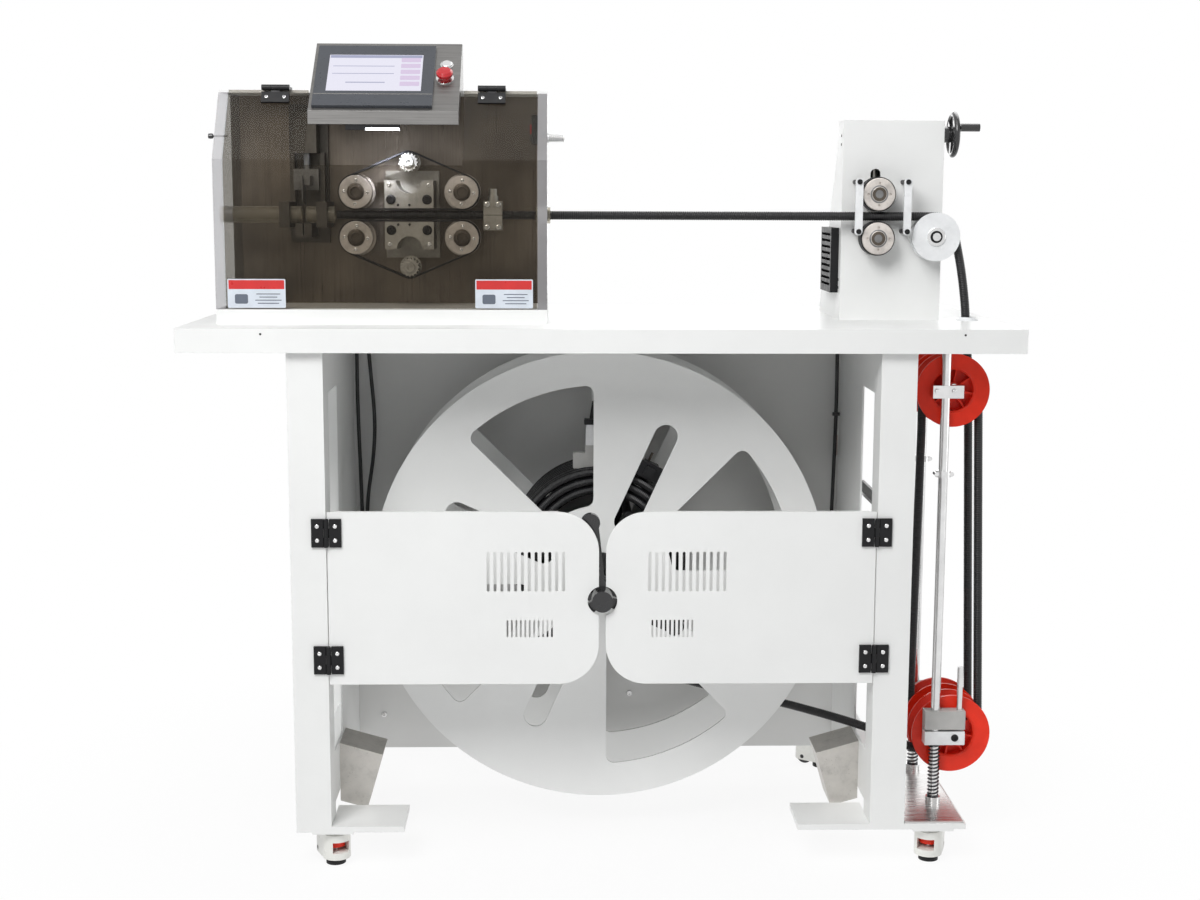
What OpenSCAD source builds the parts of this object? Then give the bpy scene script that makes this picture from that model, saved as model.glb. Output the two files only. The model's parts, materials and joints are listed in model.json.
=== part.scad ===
// Tube cutting machine: a feed and cutting head, a pull-off tower, a slack accumulator and a
// spool of tube, carried by a sheet-metal table on levelling casters.
// Millimetres. X runs to the right, Y to the back, Z up. The origin is on the floor under the
// centre of the table.

/* [Table] */
// Width of the table top
table_w = 1400; // [1360:10:1500]
// Depth of the table top
table_d = 600; // [590:5:700]
// Height of the table top above the floor
table_h = 930; // [920:5:1000]
// Height of the folded edge of the table
table_lip = 40; // [30:1:45]
// Thickness of the frame and table sheet
sheet_t = 3; // [2:0.5:4]
// Width of the flange folded in under the edge
lip_return = 12; // [8:1:12]

/* [Frame] */
// Side of the square leg tube
leg_w = 60; // [50:1:62]
// Wall of the leg and rail tubes
leg_wall = 3; // [2:0.5:4]
// Distance between the outer faces of the left and right legs
leg_span = 1044; // [1044:2:1070]
// Distance from the table edge back to the front legs
leg_setback = 15; // [15:1:25]
// Side of the square rail tube
rail_w = 40; // [30:1:50]
// Height of the lower rail above the foot plates
rail_rise = 24; // [10:1:60]
// Thickness of the foot plates
foot_t = 10; // [6:1:12]
// Reach of the foot plates past the inner face of the legs
foot_reach = 124; // [100:1:140]
// Depth of the foot plates
foot_d = 107; // [90:1:120]
// Reach of the accumulator foot past the outer face of the right legs
outrigger_reach = 107; // [105:1:120]
// Depth of the accumulator foot
outrigger_d = 305; // [300:1:330]
// Width of the side windows
window_w = 115; // [112:1:120]
// Height of the lower edge of the side windows
window_bottom = 190; // [180:1:192]
// Height of the upper edge of the side windows
window_top = 817; // [700:1:840]
// Place of the back panel's front face, behind the table centre
back_panel_y = 145; // [140:1:170]
// Width of the post behind the back panel
back_post_w = 60; // [40:1:80]
// Depth of the post behind the back panel
back_post_d = 40; // [30:1:50]

/* [Gusset boxes] */
// Width of the gusset boxes across their top
gusset_w = 79; // [60:1:90]
// Length of the gusset boxes down their tilted side
gusset_h = 102; // [80:1:104]
// Tilt of the gusset boxes
gusset_tilt = 16; // [10:1:20]
// Height of the top corner of the gusset boxes
gusset_top = 184; // [184:1:200]
// Depth of the gusset boxes
gusset_d = 90; // [60:1:110]
// Sheet of the gusset boxes
gusset_t = 2; // [1.5:0.5:3]

/* [Doors] */
// Height of the lower edge of the doors
door_bottom = 327; // [320:1:335]
// Height of the upper edge of the doors
door_top = 623; // [615:1:640]
// Gap between the two doors
door_gap = 12; // [8:1:20]
// Sheet of the doors
door_t = 3; // [2:0.5:4]
// Radius of the inner corners of the doors
door_corner_r = 68; // [40:1:80]
// Radius of the notch round the spool handle
door_notch_r = 25; // [22:1:32]
// Depth of the flange folded back along the doors
door_flange = 10; // [6:1:14]
// Width of an open door hinge
hinge_w = 50; // [40:1:56]
// Height of a door hinge
hinge_h = 48; // [36:1:60]
// Thickness of a hinge leaf
hinge_t = 4; // [3:0.5:5]
// Radius of the hinge pins
pin_r = 1.8; // [1.2:0.1:2.2]
// Height of the lower hinge centres
hinge_low_z = 370; // [360:1:390]
// Height of the upper hinge centres
hinge_high_z = 588; // [560:1:590]

/* [Spool] */
// Height of the spool axis
spool_z = 471; // [465:1:480]
// Radius of the spool flanges
flange_r = 405; // [360:1:408]
// Sheet of the spool flanges
flange_t = 4; // [3:0.5:6]
// Front face of the front flange
flange_front = -105; // [-115:1:-100]
// Rear face of the rear flange
flange_rear = 80; // [70:1:100]
// Inner radius of the fan windows
fan_ri = 130; // [120:1:150]
// Outer radius of the fan windows
fan_ro = 345; // [300:1:350]
// Distance of the window edges from the spokes' centre lines
fan_edge = 12; // [8:1:20]
// Corner radius of the fan windows
fan_corner = 15; // [8:1:25]
// Angle that one fan window spans
fan_angle = 45; // [40:1:46]
// Angle of the first long slot
slot_angle = 65.5; // [62:0.5:70]
// Width of the long slots
slot_w = 42; // [30:1:46]
// Inner end of the long slots
slot_ri = 90; // [80:1:110]
// Outer end of the long slots
slot_ro = 300; // [260:1:320]
// Radius of the spool hub
hub_r = 24; // [20:1:30]
// Radius of the spindle
spindle_r = 15; // [12:1:17]
// Outer radius of the coil of tube
coil_ro = 160; // [150:1:170]
// Inner radius of the coil of tube
coil_ri = 97; // [90:1:104]
// Height of the coil centre above the spool axis
coil_lift = 37; // [34:1:40]
// Space between the coil and each flange
coil_side = 9; // [6:1:20]
// Radius of the rods that hold the coil
finger_r = 8; // [6:1:12]

/* [Spool handle] */
// Length of each arm of the handle
handle_reach = 132; // [100:1:150]
// Radius of the lobe at the end of each arm
lobe_r = 16; // [12:1:20]
// Radius of the handle hub
handle_hub_r = 18; // [16:1:20]
// Thickness of the arms
handle_t = 14; // [8:1:16]
// Angle of the first arm
handle_angle = 98.7; // [90:0.1:120]

/* [Casters] */
// Height of the underside of the foot plates
caster_h = 66; // [66:1:70]
// Side of the caster mounting plates
caster_plate_w = 70; // [60:1:80]
// Thickness of the caster mounting plates
caster_plate_t = 4; // [3:0.5:5]
// Radius of the caster wheels
wheel_r = 17; // [15:0.5:18]
// Width of the caster wheels
wheel_w = 20; // [16:1:22]
// Distance from the swivel axis back to the wheel axle
wheel_trail = 34; // [33:1:38]
// Radius of the levelling pads
pad_r = 17; // [12:0.5:18]
// Radius of the thumb wheels
thumb_r = 16; // [12:0.5:17]

/* [Head] */
// Left end of the head
head_x = -649; // [-660:1:-640]
// Length of the head
head_w = 556; // [550:1:580]
// Front face of the head
head_front = -205; // [-215:1:-200]
// Front face of the main plate
plate_y = -26; // [-30:1:-20]
// Rear face of the housing
head_rear = 150; // [120:1:180]
// Height of the base of the head
base_h = 25; // [20:1:30]
// Height of the chamber above the base
chamber_h = 362; // [358:1:380]
// Height of the fold in the cover above the base
fold_h = 249; // [240:1:260]
// Distance that the cover slopes back above the fold
slope_back = 76; // [60:1:80]
// Thickness of the main plate
plate_t = 12; // [8:1:16]
// Thickness of the clear side plates
side_t = 16; // [10:1:18]
// Thickness of the cover
cover_t = 5; // [4:0.5:6]
// Left edge of the notch in the cover
notch_x0 = -497; // [-500:1:-494]
// Right edge of the notch in the cover
notch_x1 = -234; // [-236:1:-230]
// Depth of the notch below the fold
notch_drop = 9; // [5:1:20]
// Centres of the two cover hinges
cover_hinge_x0 = -552; // [-560:1:-545]
cover_hinge_x1 = -187; // [-192:1:-180]

/* [Console] */
// Left side of the console
console_x = -490; // [-491:1:-488]
// Width of the console
console_w = 250; // [245:1:251]
// Height of the front lip of the console
console_lip = 22; // [18:1:26]
// Width of the touch screen bezel
screen_w = 200; // [180:1:202]
// Height of the touch screen bezel along the slope
screen_h = 160; // [120:1:162]
// Thickness of the touch screen bezel
screen_t = 6; // [4:0.5:8]
// Radius of the emergency stop head
estop_r = 14; // [12:0.5:16]
// Travel of the emergency stop
estop_stroke = 4; // [3:0.5:5]
// Radius of the start button
start_r = 8.5; // [7:0.5:9]
// Travel of the start button
start_stroke = 2; // [1:0.5:3]

/* [Tube] */
// Outer radius of the tube
tube_r = 7.9; // [7:0.1:8.2]
// Height of the tube line above the table
tube_rise = 182; // [180:1:190]
// Place of the tube line, in front of the table centre
tube_y = -105; // [-108:1:-102]

/* [Feed unit] */
// Centre of the feed unit
feed_x = -331; // [-335:1:-325]
// Distance between the left and right feed wheels
feed_span = 182; // [170:1:190]
// Distance from the tube line to the feed wheel axes
feed_offset = 39; // [38:0.5:42]
// Distance from the tube line to the drive pulley axes
drive_offset = 89.5; // [86:0.5:94]
// Radius of the drive pulleys
drive_r = 17; // [14:0.5:20]
// Thickness of the belts
belt_t = 2.8; // [2:0.1:3.5]
// Width of the belts
belt_w = 22; // [18:1:24]
// Radius of the shafts
shaft_r = 8; // [6:0.5:9]
// Width of the platen blocks
platen_w = 84; // [70:1:90]
// Height of the platen blocks
platen_h = 47; // [40:1:50]
// Place of the tube guide clamp
clamp_x = -187; // [-195:1:-180]
// Width of the tube guide clamp
clamp_w = 32; // [24:1:36]

/* [Cutter] */
// Place of the blade
blade_x = -512; // [-516:1:-508]
// Thickness of the blade
blade_t = 1.5; // [1:0.5:2]
// Travel of the blade
blade_stroke = 34; // [30:1:35]
// Gap between the two guide tubes
guide_gap = 8; // [6:0.5:10]
// Outer radius of the guide tubes
guide_ro = 14; // [13:0.5:15]
// Bore radius of the guide tubes
guide_ri = 10; // [9:0.5:11]
// Length that the outlet guide stands out of the head
guide_out = 6; // [3:1:12]

/* [Tower] */
// Left side of the tower
tower_x = 422; // [415:1:425]
// Width of the tower
tower_w = 177; // [175:1:185]
// Height of the tower
tower_h = 347; // [340:1:370]
// Front face of the tower
tower_front = -80; // [-82:1:-76]
// Depth of the tower at its top
tower_top_d = 50; // [45:1:70]
// Depth of the tower at its foot
tower_foot_d = 239; // [200:1:260]
// Thickness of the front wall of the tower
tower_wall = 6; // [5:0.5:8]
// Place of the pull rollers
roller_x = 480; // [476:1:484]
// Distance from the tube line to the roller axes
roller_offset = 38; // [36:0.5:39]
// Lift of the upper roller
roller_lift = 22; // [6:1:24]
// Place of the guide pulley
guide_x = 582; // [576:1:583]
// Radius of the tube's centre line on the guide pulley
guide_line_r = 35; // [32:0.5:36]
// Outer radius of the guide pulley
guide_pulley_r = 42; // [40:0.5:44]
// Radius of the handwheel
handwheel_r = 40; // [34:1:44]
// Length of the handwheel grip
grip_l = 33; // [25:1:40]

/* [Accumulator] */
// Radius of the guide rods
rod_r = 8; // [6:0.5:9]
// Place of the guide rods
rod_x = 592; // [588:1:594]
// Front and rear rows of the guide rods
rod_front = -186; // [-190:1:-184]
rod_rear = -8; // [-12:1:0]
// Front and rear rows of the pulleys
row_front = -150; // [-152:1:-148]
row_rear = -74; // [-78:1:-70]
// Width of the red pulleys
pulley_w = 44; // [38:1:46]
// Radius of the upper pulleys
upper_r = 63.5; // [61:0.5:65]
// Radius of the tube's centre line on the upper pulleys
upper_line_r = 49; // [45:0.5:50]
// Place of the upper axle
upper_x = 608; // [606:1:610]
// Depth of the upper axle below the table top
upper_drop = 115; // [112:1:130]
// Radius of the lower pulleys
lower_r = 69.5; // [66:0.5:71]
// Radius of the tube's centre line on the lower pulleys
lower_line_r = 53; // [50:0.5:55]
// Place of the lower axle
lower_x = 624; // [622:1:626]
// Height of the lower axle
lower_z = 201; // [199:1:203]
// Height of the upper edge of the carriage
carriage_top = 249; // [245:1:262]
// Height of the lower edge of the carriage
carriage_bottom = 188; // [185:1:189]
// Height of the stop collars
stop_z = 672; // [660:1:700]

/* [Hidden] */
$fn = 64;
// Clearance beside moving faces, and radial play of a shaft in its bore
gap = 0.3;
fit = 0.05;
// More than any sheet, to cut cleanly through it
past = 1;

// Frame
under_z = table_h - sheet_t;
front_y = leg_setback - table_d / 2;
leg_out = leg_span / 2;
leg_in = leg_out - leg_w;
leg_mid = leg_out - leg_w / 2;
foot_top = caster_h + foot_t;
rail_low = foot_top + rail_rise;
rail_high = under_z - rail_w;
side_len = -2 * front_y - 2 * leg_w;

// Casters
caster_left_x = -460;
caster_right_x = 573;
caster_rear_x = 460;
caster_y = 250;
caster_head = caster_h - caster_plate_t;
caster_turns = [120, 65, 150, 150];
wheel_axle_r = 4;
wheel_z = wheel_r + 2;
pad_h = 9;
stem_r = 5;
stem_top = 51;
thumb_low = 31;
thumb_high = 43;
foot_travel = 6;
caster_low = 12;
caster_high = 56;

// Hinges: the axis lies in front of the door face
hinge_axis_y = front_y - hinge_t;
hinge_axis_x = leg_in - 1;
barrel_r = hinge_t - 0.1;
screw_head_r = 4;
screw_head_h = 1.5;

// Spool
spool_in_front = flange_front + flange_t;
spool_in_rear = flange_rear - flange_t;
cone_front = flange_front - 45;
thread_r = 8;
handle_front = front_y - 10;
handle_arm_rear = front_y + 26;
handle_arm_front = handle_arm_rear - handle_t;

// Head
head_end = head_x + head_w;
base_top = table_h + base_h;
chamber_top = base_top + chamber_h;
fold_z = base_top + fold_h;
head_top = chamber_top + cover_t;
slope_y = head_front + slope_back;
cover_side_gap = 1.5;
cover_foot_gap = 2;
cover_x0 = head_x + side_t + cover_side_gap;
cover_x1 = head_end - side_t - cover_side_gap;
cover_barrel_r = 5;
cover_axis_y = slope_y - 5;
cover_axis_z = head_top + 3;
cover_leaf_w = 47;
top_plate_y = slope_y + 10;

// Console: the sloped face runs from the lip to the back edge
console_low = head_top - 60;
console_front = head_front + 5;
console_back = slope_y + 84;
console_top = head_top + 82;
slope_from = [console_front, console_low + console_lip];
slope_to = [console_back - 20, console_top];
slope_len = norm(slope_to - slope_from);
slope_angle = atan2(slope_to.y - slope_from.y, slope_to.x - slope_from.x);
screen_x = console_x + 6;
screen_up = 7;
estop_x = -266;
estop_up = 85;
start_x = -264;
start_up = 120;

// Tube line, feed wheels and belts
tube_z = table_h + tube_rise;
feed_wheel_r = feed_offset - tube_r - belt_t - 2 * gap;
feed_flange_r = feed_wheel_r + belt_t + 1;
feed_half_w = belt_w / 2 + 1;
feed_flange_t = 3;
feed_hub_r = 11;
slide_plate_w = 94;
slide_plate_h = 76;
slide_plate_t = 12;
platen_low = feed_offset - feed_wheel_r + gap;

// Cutter
holder_rise = guide_ro + blade_stroke + 2;
blade_low = guide_ro + 2;
blade_high = holder_rise + 16;
cutter_plate_t = 10;
cutter_plate_y = plate_y - cutter_plate_t;
cutter_rod_y = -63;
cutter_rod_r = 6;
cylinder_low = 105;
cylinder_high = 175;
slider_w = 43.4;
slider_high = 78;
anvil_top = -guide_ro - 1;

// Tower
tower_end = tower_x + tower_w;
tower_top = table_h + tower_h;
tower_in = tower_front + tower_wall;
roller_r = roller_offset - tube_r - gap;
slide_w = 52;
slide_h = 36;
slide_d = 24;
slide_y = tower_in + gap;
slide_rod_r = 5;
slide_rod_dx = 18;
slide_rod_y = slide_y + slide_d / 2;
roller_up_z = tube_z + roller_offset;
roller_low_z = tube_z - roller_offset;
shelf_low = roller_up_z - slide_h / 2 - 16;
shelf_high = roller_up_z + slide_h / 2 + 32;
shelf_t = 6;
guide_z = tube_z - guide_line_r;
handwheel_y = tower_front + 25;
handwheel_z = tower_top - 23;
guide_bar_dx = 42;

// Accumulator
plate_top = foot_top + 3;
upper_z = table_h - upper_drop;
axle_r = 8;
block_d = 24;
block_x0 = rod_x - 20;
block_x1 = lower_x + 19;
block_slit = 4;
spring_foot = plate_top + 12;
groove_r = tube_r + gap;
table_hole_x = 648;
table_hole_y = -86;

// A block between two corners
module block(lo, hi) translate(lo) cube(hi - lo);

// A round bar along Y, and one along X
module bar_y(r, y0, y1) translate([0, y0, 0]) rotate([-90, 0, 0]) cylinder(r = r, h = y1 - y0);
module bar_x(r, x0, x1) translate([x0, 0, 0]) rotate([0, 90, 0]) cylinder(r = r, h = x1 - x0);

// A round bar between two points
module bar(p, q, r) {
    v = q - p;
    translate(p) rotate([0, acos(v.z / norm(v)), atan2(v.y, v.x)]) cylinder(r = r, h = norm(v));
}

// A tube swept along points, with a ring of corners at each one
function unit(v) = v / norm(v);
module swept(points, r) {
    n = len(points);
    sides = 12;
    ways = [for (i = [0:n - 1]) let (a = max(i, 1), b = min(i, n - 2))
            unit(unit(points[a] - points[a - 1]) + unit(points[b + 1] - points[b]))];
    polyhedron(
        [for (i = [0:n - 1])
            let (u = unit(cross(ways[i], [0, 1, 0])), v = cross(ways[i], u))
            for (k = [0:sides - 1]) points[i] + r * (cos(360 * k / sides) * u + sin(360 * k / sides) * v)],
        [[for (k = [0:sides - 1]) k],
         for (i = [0:n - 2]) for (k = [0:sides - 1]) let (a = i * sides, b = (k + 1) % sides)
            each [[a + k, a + sides + k, a + b], [a + b, a + sides + k, a + sides + b]],
         [for (k = [sides - 1:-1:0]) (n - 1) * sides + k]]);
}

// Points on an arc about the Y axis
function arc_points(centre, r, from, to, steps) =
    [for (i = [0:steps]) let (a = from + (to - from) * i / steps) centre + [r * cos(a), 0, r * sin(a)]];

// Flat profiles: in X and Z, thick along Y, and in Y and Z, thick along X
module sheet_xz(y0, y1) translate([0, y1, 0]) rotate([90, 0, 0]) linear_extrude(y1 - y0) children();
module sheet_yz(x0, x1) translate([x0, 0, 0]) rotate([90, 0, 90]) linear_extrude(x1 - x0) children();

// A profile of radius and Y turned about the Y axis
module turned_y() rotate([-90, 0, 0]) rotate_extrude() children();

// A ring segment of tube about the Y axis, from one angle to another
module tube_arc(line_r, from, to)
    rotate([90, 0, 0]) rotate([0, 0, from]) rotate_extrude(angle = to - from)
        translate([line_r, 0]) circle(r = tube_r);

function polar(a, r) = [r * cos(a), r * sin(a)];

// Direction to the outer tangent line of two circles
function tangent_angle(c1, r1, c2, r2) =
    let (v = c2 - c1) atan2(v.y, v.x) - 90 + asin((r1 - r2) / norm(v));

// The outline of a band round circles, listed anticlockwise
module band_outline(centres, radii) {
    n = len(centres);
    for (i = [0:n - 1]) translate(centres[i]) circle(r = radii[i]);
    polygon([for (i = [0:n - 1])
        let (j = (i + 1) % n, a = tangent_angle(centres[i], radii[i], centres[j], radii[j]))
        each [centres[i] + polar(a, radii[i]), centres[j] + polar(a, radii[j])]]);
}

// A slot with round ends
module slot_2d(p, q, w) band_outline([p, q], [w / 2, w / 2]);

// The wedge between two spokes, its edges moved in by a distance
module wedge(a0, a1, edge, reach) {
    apex = polar((a0 + a1) / 2, edge / sin((a1 - a0) / 2));
    polygon([apex,
             polar(a0 + 90, edge) + polar(a0, reach),
             polar(a1 - 90, edge) + polar(a1, reach)]);
}

module ring_wedge(ri, ro, a0, a1, edge)
    intersection() {
        difference() {
            circle(r = ro);
            circle(r = ri);
        }
        wedge(a0, a1, edge, 2 * ro);
    }

// A fan window with round corners
module fan_window(a0) {
    a1 = a0 + fan_angle;
    c = fan_corner;
    ring_wedge(fan_ri + c, fan_ro - c, a0, a1, fan_edge);
    ring_wedge(fan_ri, fan_ro, a0, a1, fan_edge + c);
    for (r = [fan_ri + c, fan_ro - c])
        let (turn = asin((fan_edge + c) / r))
        for (a = [a0 + turn, a1 - turn])
            translate(polar(a, r)) circle(r = c);
}

// Table top: a tray with folded edges and a bushing for the tube
module tabletop() {
    w = table_w / 2;
    d = table_d / 2;
    low = table_h - table_lip;
    t = sheet_t;
    bushing_r = 15;
    color([0.93, 0.93, 0.92])
    difference() {
        union() {
            difference() {
                block([-w, -d, low], [w, d, table_h]);
                block([-w + t, -d + t, low + t], [w - t, d - t, under_z]);
                block([-w + lip_return, -d + lip_return, low - past],
                      [w - lip_return, d - lip_return, low + t + past]);
            }
            translate([table_hole_x, table_hole_y, under_z - 6])
                cylinder(r = bushing_r, h = sheet_t + 12);
            translate([table_hole_x, table_hole_y, table_h]) cylinder(r = bushing_r + 4, h = 2);
        }
        translate([table_hole_x, table_hole_y, under_z - 6 - past])
            cylinder(r = bushing_r - 4, h = sheet_t + 12 + 2 * past);
    }
}

// One end of the frame, drawn for the right side
module end_frame(outrigger) {
    color([0.93, 0.93, 0.92]) {
        for (side = [-1, 1]) {
            leg_y = side * (front_y + leg_w / 2);
            difference() {
                translate([leg_mid - leg_w / 2, leg_y - leg_w / 2, caster_h])
                    cube([leg_w, leg_w, under_z - caster_h]);
                translate([leg_mid - leg_w / 2 + leg_wall, leg_y - leg_w / 2 + leg_wall, foot_top])
                    cube([leg_w - 2 * leg_wall, leg_w - 2 * leg_wall, under_z]);
            }
            y_edge = side * -front_y;
            block([leg_in - foot_reach, min(y_edge, y_edge - side * foot_d), caster_h],
                  [leg_in + past, max(y_edge, y_edge - side * foot_d), foot_top]);
        }
        for (z = [rail_low, rail_high])
            difference() {
                translate([leg_mid - rail_w / 2, -side_len / 2 - past, z])
                    cube([rail_w, side_len + 2 * past, rail_w]);
                translate([leg_mid - rail_w / 2 + leg_wall, -side_len / 2 - 2 * past, z + leg_wall])
                    cube([rail_w - 2 * leg_wall, side_len + 4 * past, rail_w - 2 * leg_wall]);
            }
        difference() {
            translate([leg_in, -side_len / 2 - past, rail_low])
                cube([(leg_w - rail_w) / 2 + past, side_len + 2 * past, under_z - rail_low]);
            translate([leg_in + sheet_t, -side_len / 2, rail_low + rail_w])
                cube([leg_w, side_len, rail_high - rail_low - rail_w]);
            translate([leg_in - past, -side_len / 2, window_bottom])
                cube([leg_w, window_w, window_top - window_bottom]);
        }
        if (outrigger)
            block([leg_out - past, front_y, caster_h],
                  [leg_out + outrigger_reach, front_y + outrigger_d, foot_top]);
        for (p = outrigger ? [[caster_right_x, -caster_y], [caster_rear_x, caster_y]]
                           : [[-caster_left_x, -caster_y], [caster_rear_x, caster_y]])
            translate([p.x - caster_plate_w / 2, p.y - caster_plate_w / 2, caster_head])
                cube([caster_plate_w, caster_plate_w, caster_plate_t]);
    }
}

module left_end_frame() mirror([1, 0, 0]) end_frame(false);
module right_end_frame() end_frame(true);

// Back wall of the spool bay with the post that carries the spindle
module back_panel() {
    color([0.86, 0.86, 0.85])
    difference() {
        union() {
            block([-leg_in, back_panel_y, foot_top], [leg_in, back_panel_y + sheet_t, under_z]);
            block([-leg_in, back_panel_y, foot_top], [leg_in, back_panel_y + 20, foot_top + sheet_t]);
            block([-back_post_w / 2, back_panel_y + sheet_t, foot_top],
                  [back_post_w / 2, back_panel_y + back_post_d, under_z]);
        }
        translate([0, 0, spool_z]) bar_y(spindle_r + fit, back_panel_y - past, back_panel_y + 20 + gap);
    }
}

// Slanted box behind each front foot plate, fastened to the side panel
module gusset_boxes() {
    along = polar(-gusset_tilt, 1);
    down = polar(-gusset_tilt - 90, 1);
    corner = [-leg_in, gusset_top];
    y0 = front_y + foot_d + 18;
    t = gusset_t;
    color([0.62, 0.6, 0.57])
    for (side = [0, 1]) mirror([side, 0, 0])
        difference() {
            sheet_xz(y0, y0 + gusset_d)
                polygon([for (p = [[0, 0], [gusset_w, 0], [gusset_w, gusset_h], [0, gusset_h]])
                         corner + p.x * along + p.y * down]);
            sheet_xz(y0 + t, y0 + gusset_d - t)
                polygon([for (p = [[25, t], [gusset_w - t, t], [gusset_w - t, gusset_h - t], [35, gusset_h - t]])
                         corner + p.x * along + p.y * down]);
            block([-leg_out - gusset_w, front_y, 0], [-leg_in, -front_y, gusset_top + past]);
        }
}

// One hinge leaf: a plate with two screws and its share of the barrel
module hinge_leaf(reach, height, r, t, z_parts, bored) {
    difference() {
        union() {
            block([r + 1, 0, -height / 2], [reach, t, height / 2]);
            for (z = z_parts) {
                translate([0, 0, z[0]]) cylinder(r = r, h = z[1] - z[0]);
                block([0, t - 2, z[0]], [r + 1 + past, t, z[1]]);
            }
            for (z = [-1, 1])
                translate([(reach + r + 1) / 2, -screw_head_h, z * height / 4])
                    bar_y(screw_head_r, 0, screw_head_h + past);
        }
        if (bored) translate([0, 0, -height]) cylinder(r = pin_r + fit, h = 2 * height);
    }
}

// Fixed leaves of the door and cover hinges, with their pins
module hinge_plates() {
    third = hinge_h / 3;
    color([0.06, 0.06, 0.07]) {
        for (side = [0, 1]) mirror([side, 0, 0])
            for (z = [hinge_low_z, hinge_high_z])
                translate([-hinge_axis_x, hinge_axis_y, z]) {
                    mirror([1, 0, 0])
                        hinge_leaf(hinge_w / 2, hinge_h, barrel_r, hinge_t,
                                   [[-hinge_h / 2, -third / 2], [third / 2, hinge_h / 2]], false);
                    translate([0, 0, -hinge_h / 2]) cylinder(r = pin_r, h = hinge_h);
                }
        for (x = [cover_hinge_x0, cover_hinge_x1])
            translate([x, cover_axis_y, cover_axis_z]) {
                for (s = [-1, 1])
                    translate([s * cover_leaf_w / 3, 0, 0])
                        bar_x(cover_barrel_r, -cover_leaf_w / 6, cover_leaf_w / 6);
                bar_x(pin_r, -cover_leaf_w / 2, cover_leaf_w / 2);
                difference() {
                    block([-cover_leaf_w / 2, 0, head_top - cover_axis_z], [cover_leaf_w / 2, 30, 1.5]);
                    block([-cover_leaf_w / 6 - gap, -past, -5],
                          [cover_leaf_w / 6 + gap, cover_barrel_r + gap, 5]);
                }
            }
    }
}

// Half of a row of short upright slots
module slot_row(x0, z0, count, pitch, w, h)
    for (i = [0:count - 1])
        slot_2d([x0 + i * pitch, z0 + w / 2], [x0 + i * pitch, z0 + h - w / 2], w);

// Left door, drawn once for both sides, hung at its outer edge
module door(rows) {
    x0 = -leg_in + 2;
    x1 = -door_gap / 2;
    r = door_corner_r;
    mid_r = door_notch_r;
    third = hinge_h / 3;
    color([0.94, 0.94, 0.93])
    difference() {
        union() {
            sheet_xz(front_y, front_y + door_t)
                difference() {
                    union() {
                        translate([x0, door_bottom]) square([x1 - r - x0, door_top - door_bottom]);
                        translate([x0, door_bottom + r])
                            square([x1 - x0, door_top - door_bottom - 2 * r]);
                        for (z = [door_bottom + r, door_top - r])
                            translate([x1 - r, z]) circle(r = r);
                    }
                    translate([0, spool_z]) circle(r = mid_r);
                }
            for (z = [door_bottom, door_top - door_t])
                block([x0 + 12, front_y, z], [x1 - r, front_y + door_flange, z + door_t]);
        }
        sheet_xz(front_y - past, front_y + door_t + past)
            for (row = rows) slot_row(row[0], row[1], row[2], row[3], row[4], row[5]);
    }
    color([0.06, 0.06, 0.07])
    for (z = [hinge_low_z, hinge_high_z])
        translate([-hinge_axis_x, hinge_axis_y, z])
            hinge_leaf(hinge_w / 2, hinge_h, barrel_r, hinge_t,
                       [[-third / 2 + gap, third / 2 - gap]], true);
}

// Rows of slots as place, height, count, pitch, width and length
row_z = [door_bottom + 160, door_bottom + 81];
module left_door() door([[-192, row_z[0], 12, 11.5, 5, 68], [-160, row_z[1], 11, 7.5, 3, 30]]);
module right_door() mirror([1, 0, 0])
    door([[-206, row_z[0], 12, 11.5, 5, 68], [-152, row_z[1], 10, 7.5, 3, 30]]);

// Spindle: a shaft on a flange, with a threaded end for the handle
module spool_spindle() {
    color([0.7, 0.7, 0.7]) translate([0, 0, spool_z]) {
        bar_y(spindle_r, cone_front, back_panel_y + 20);
        bar_y(spindle_r + 8, flange_rear + 6 + gap, back_panel_y - 11);
        bar_y(45, back_panel_y - 12, back_panel_y);
        bar_y(thread_r, front_y + 5, cone_front + past);
    }
}

// The two spool flanges with their fan windows and long slots
module spool_flanges() {
    color([0.93, 0.93, 0.92]) translate([0, 0, spool_z])
    for (y = [flange_front, flange_rear - flange_t])
        sheet_xz(y, y + flange_t)
            difference() {
                circle(r = flange_r, $fn = 128);
                circle(r = hub_r + 0.1);
                for (k = [0:3]) {
                    fan_window(90 * k);
                    slot_2d(polar(slot_angle + 90 * k, slot_ri + slot_w / 2),
                            polar(slot_angle + 90 * k, slot_ro - slot_w / 2), slot_w);
                }
            }
}

// Distance from the spool axis to a circle about the coil centre, one way
function coil_reach(a, r) = coil_lift * sin(a) + sqrt(pow(r, 2) - pow(coil_lift * cos(a), 2));

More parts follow.
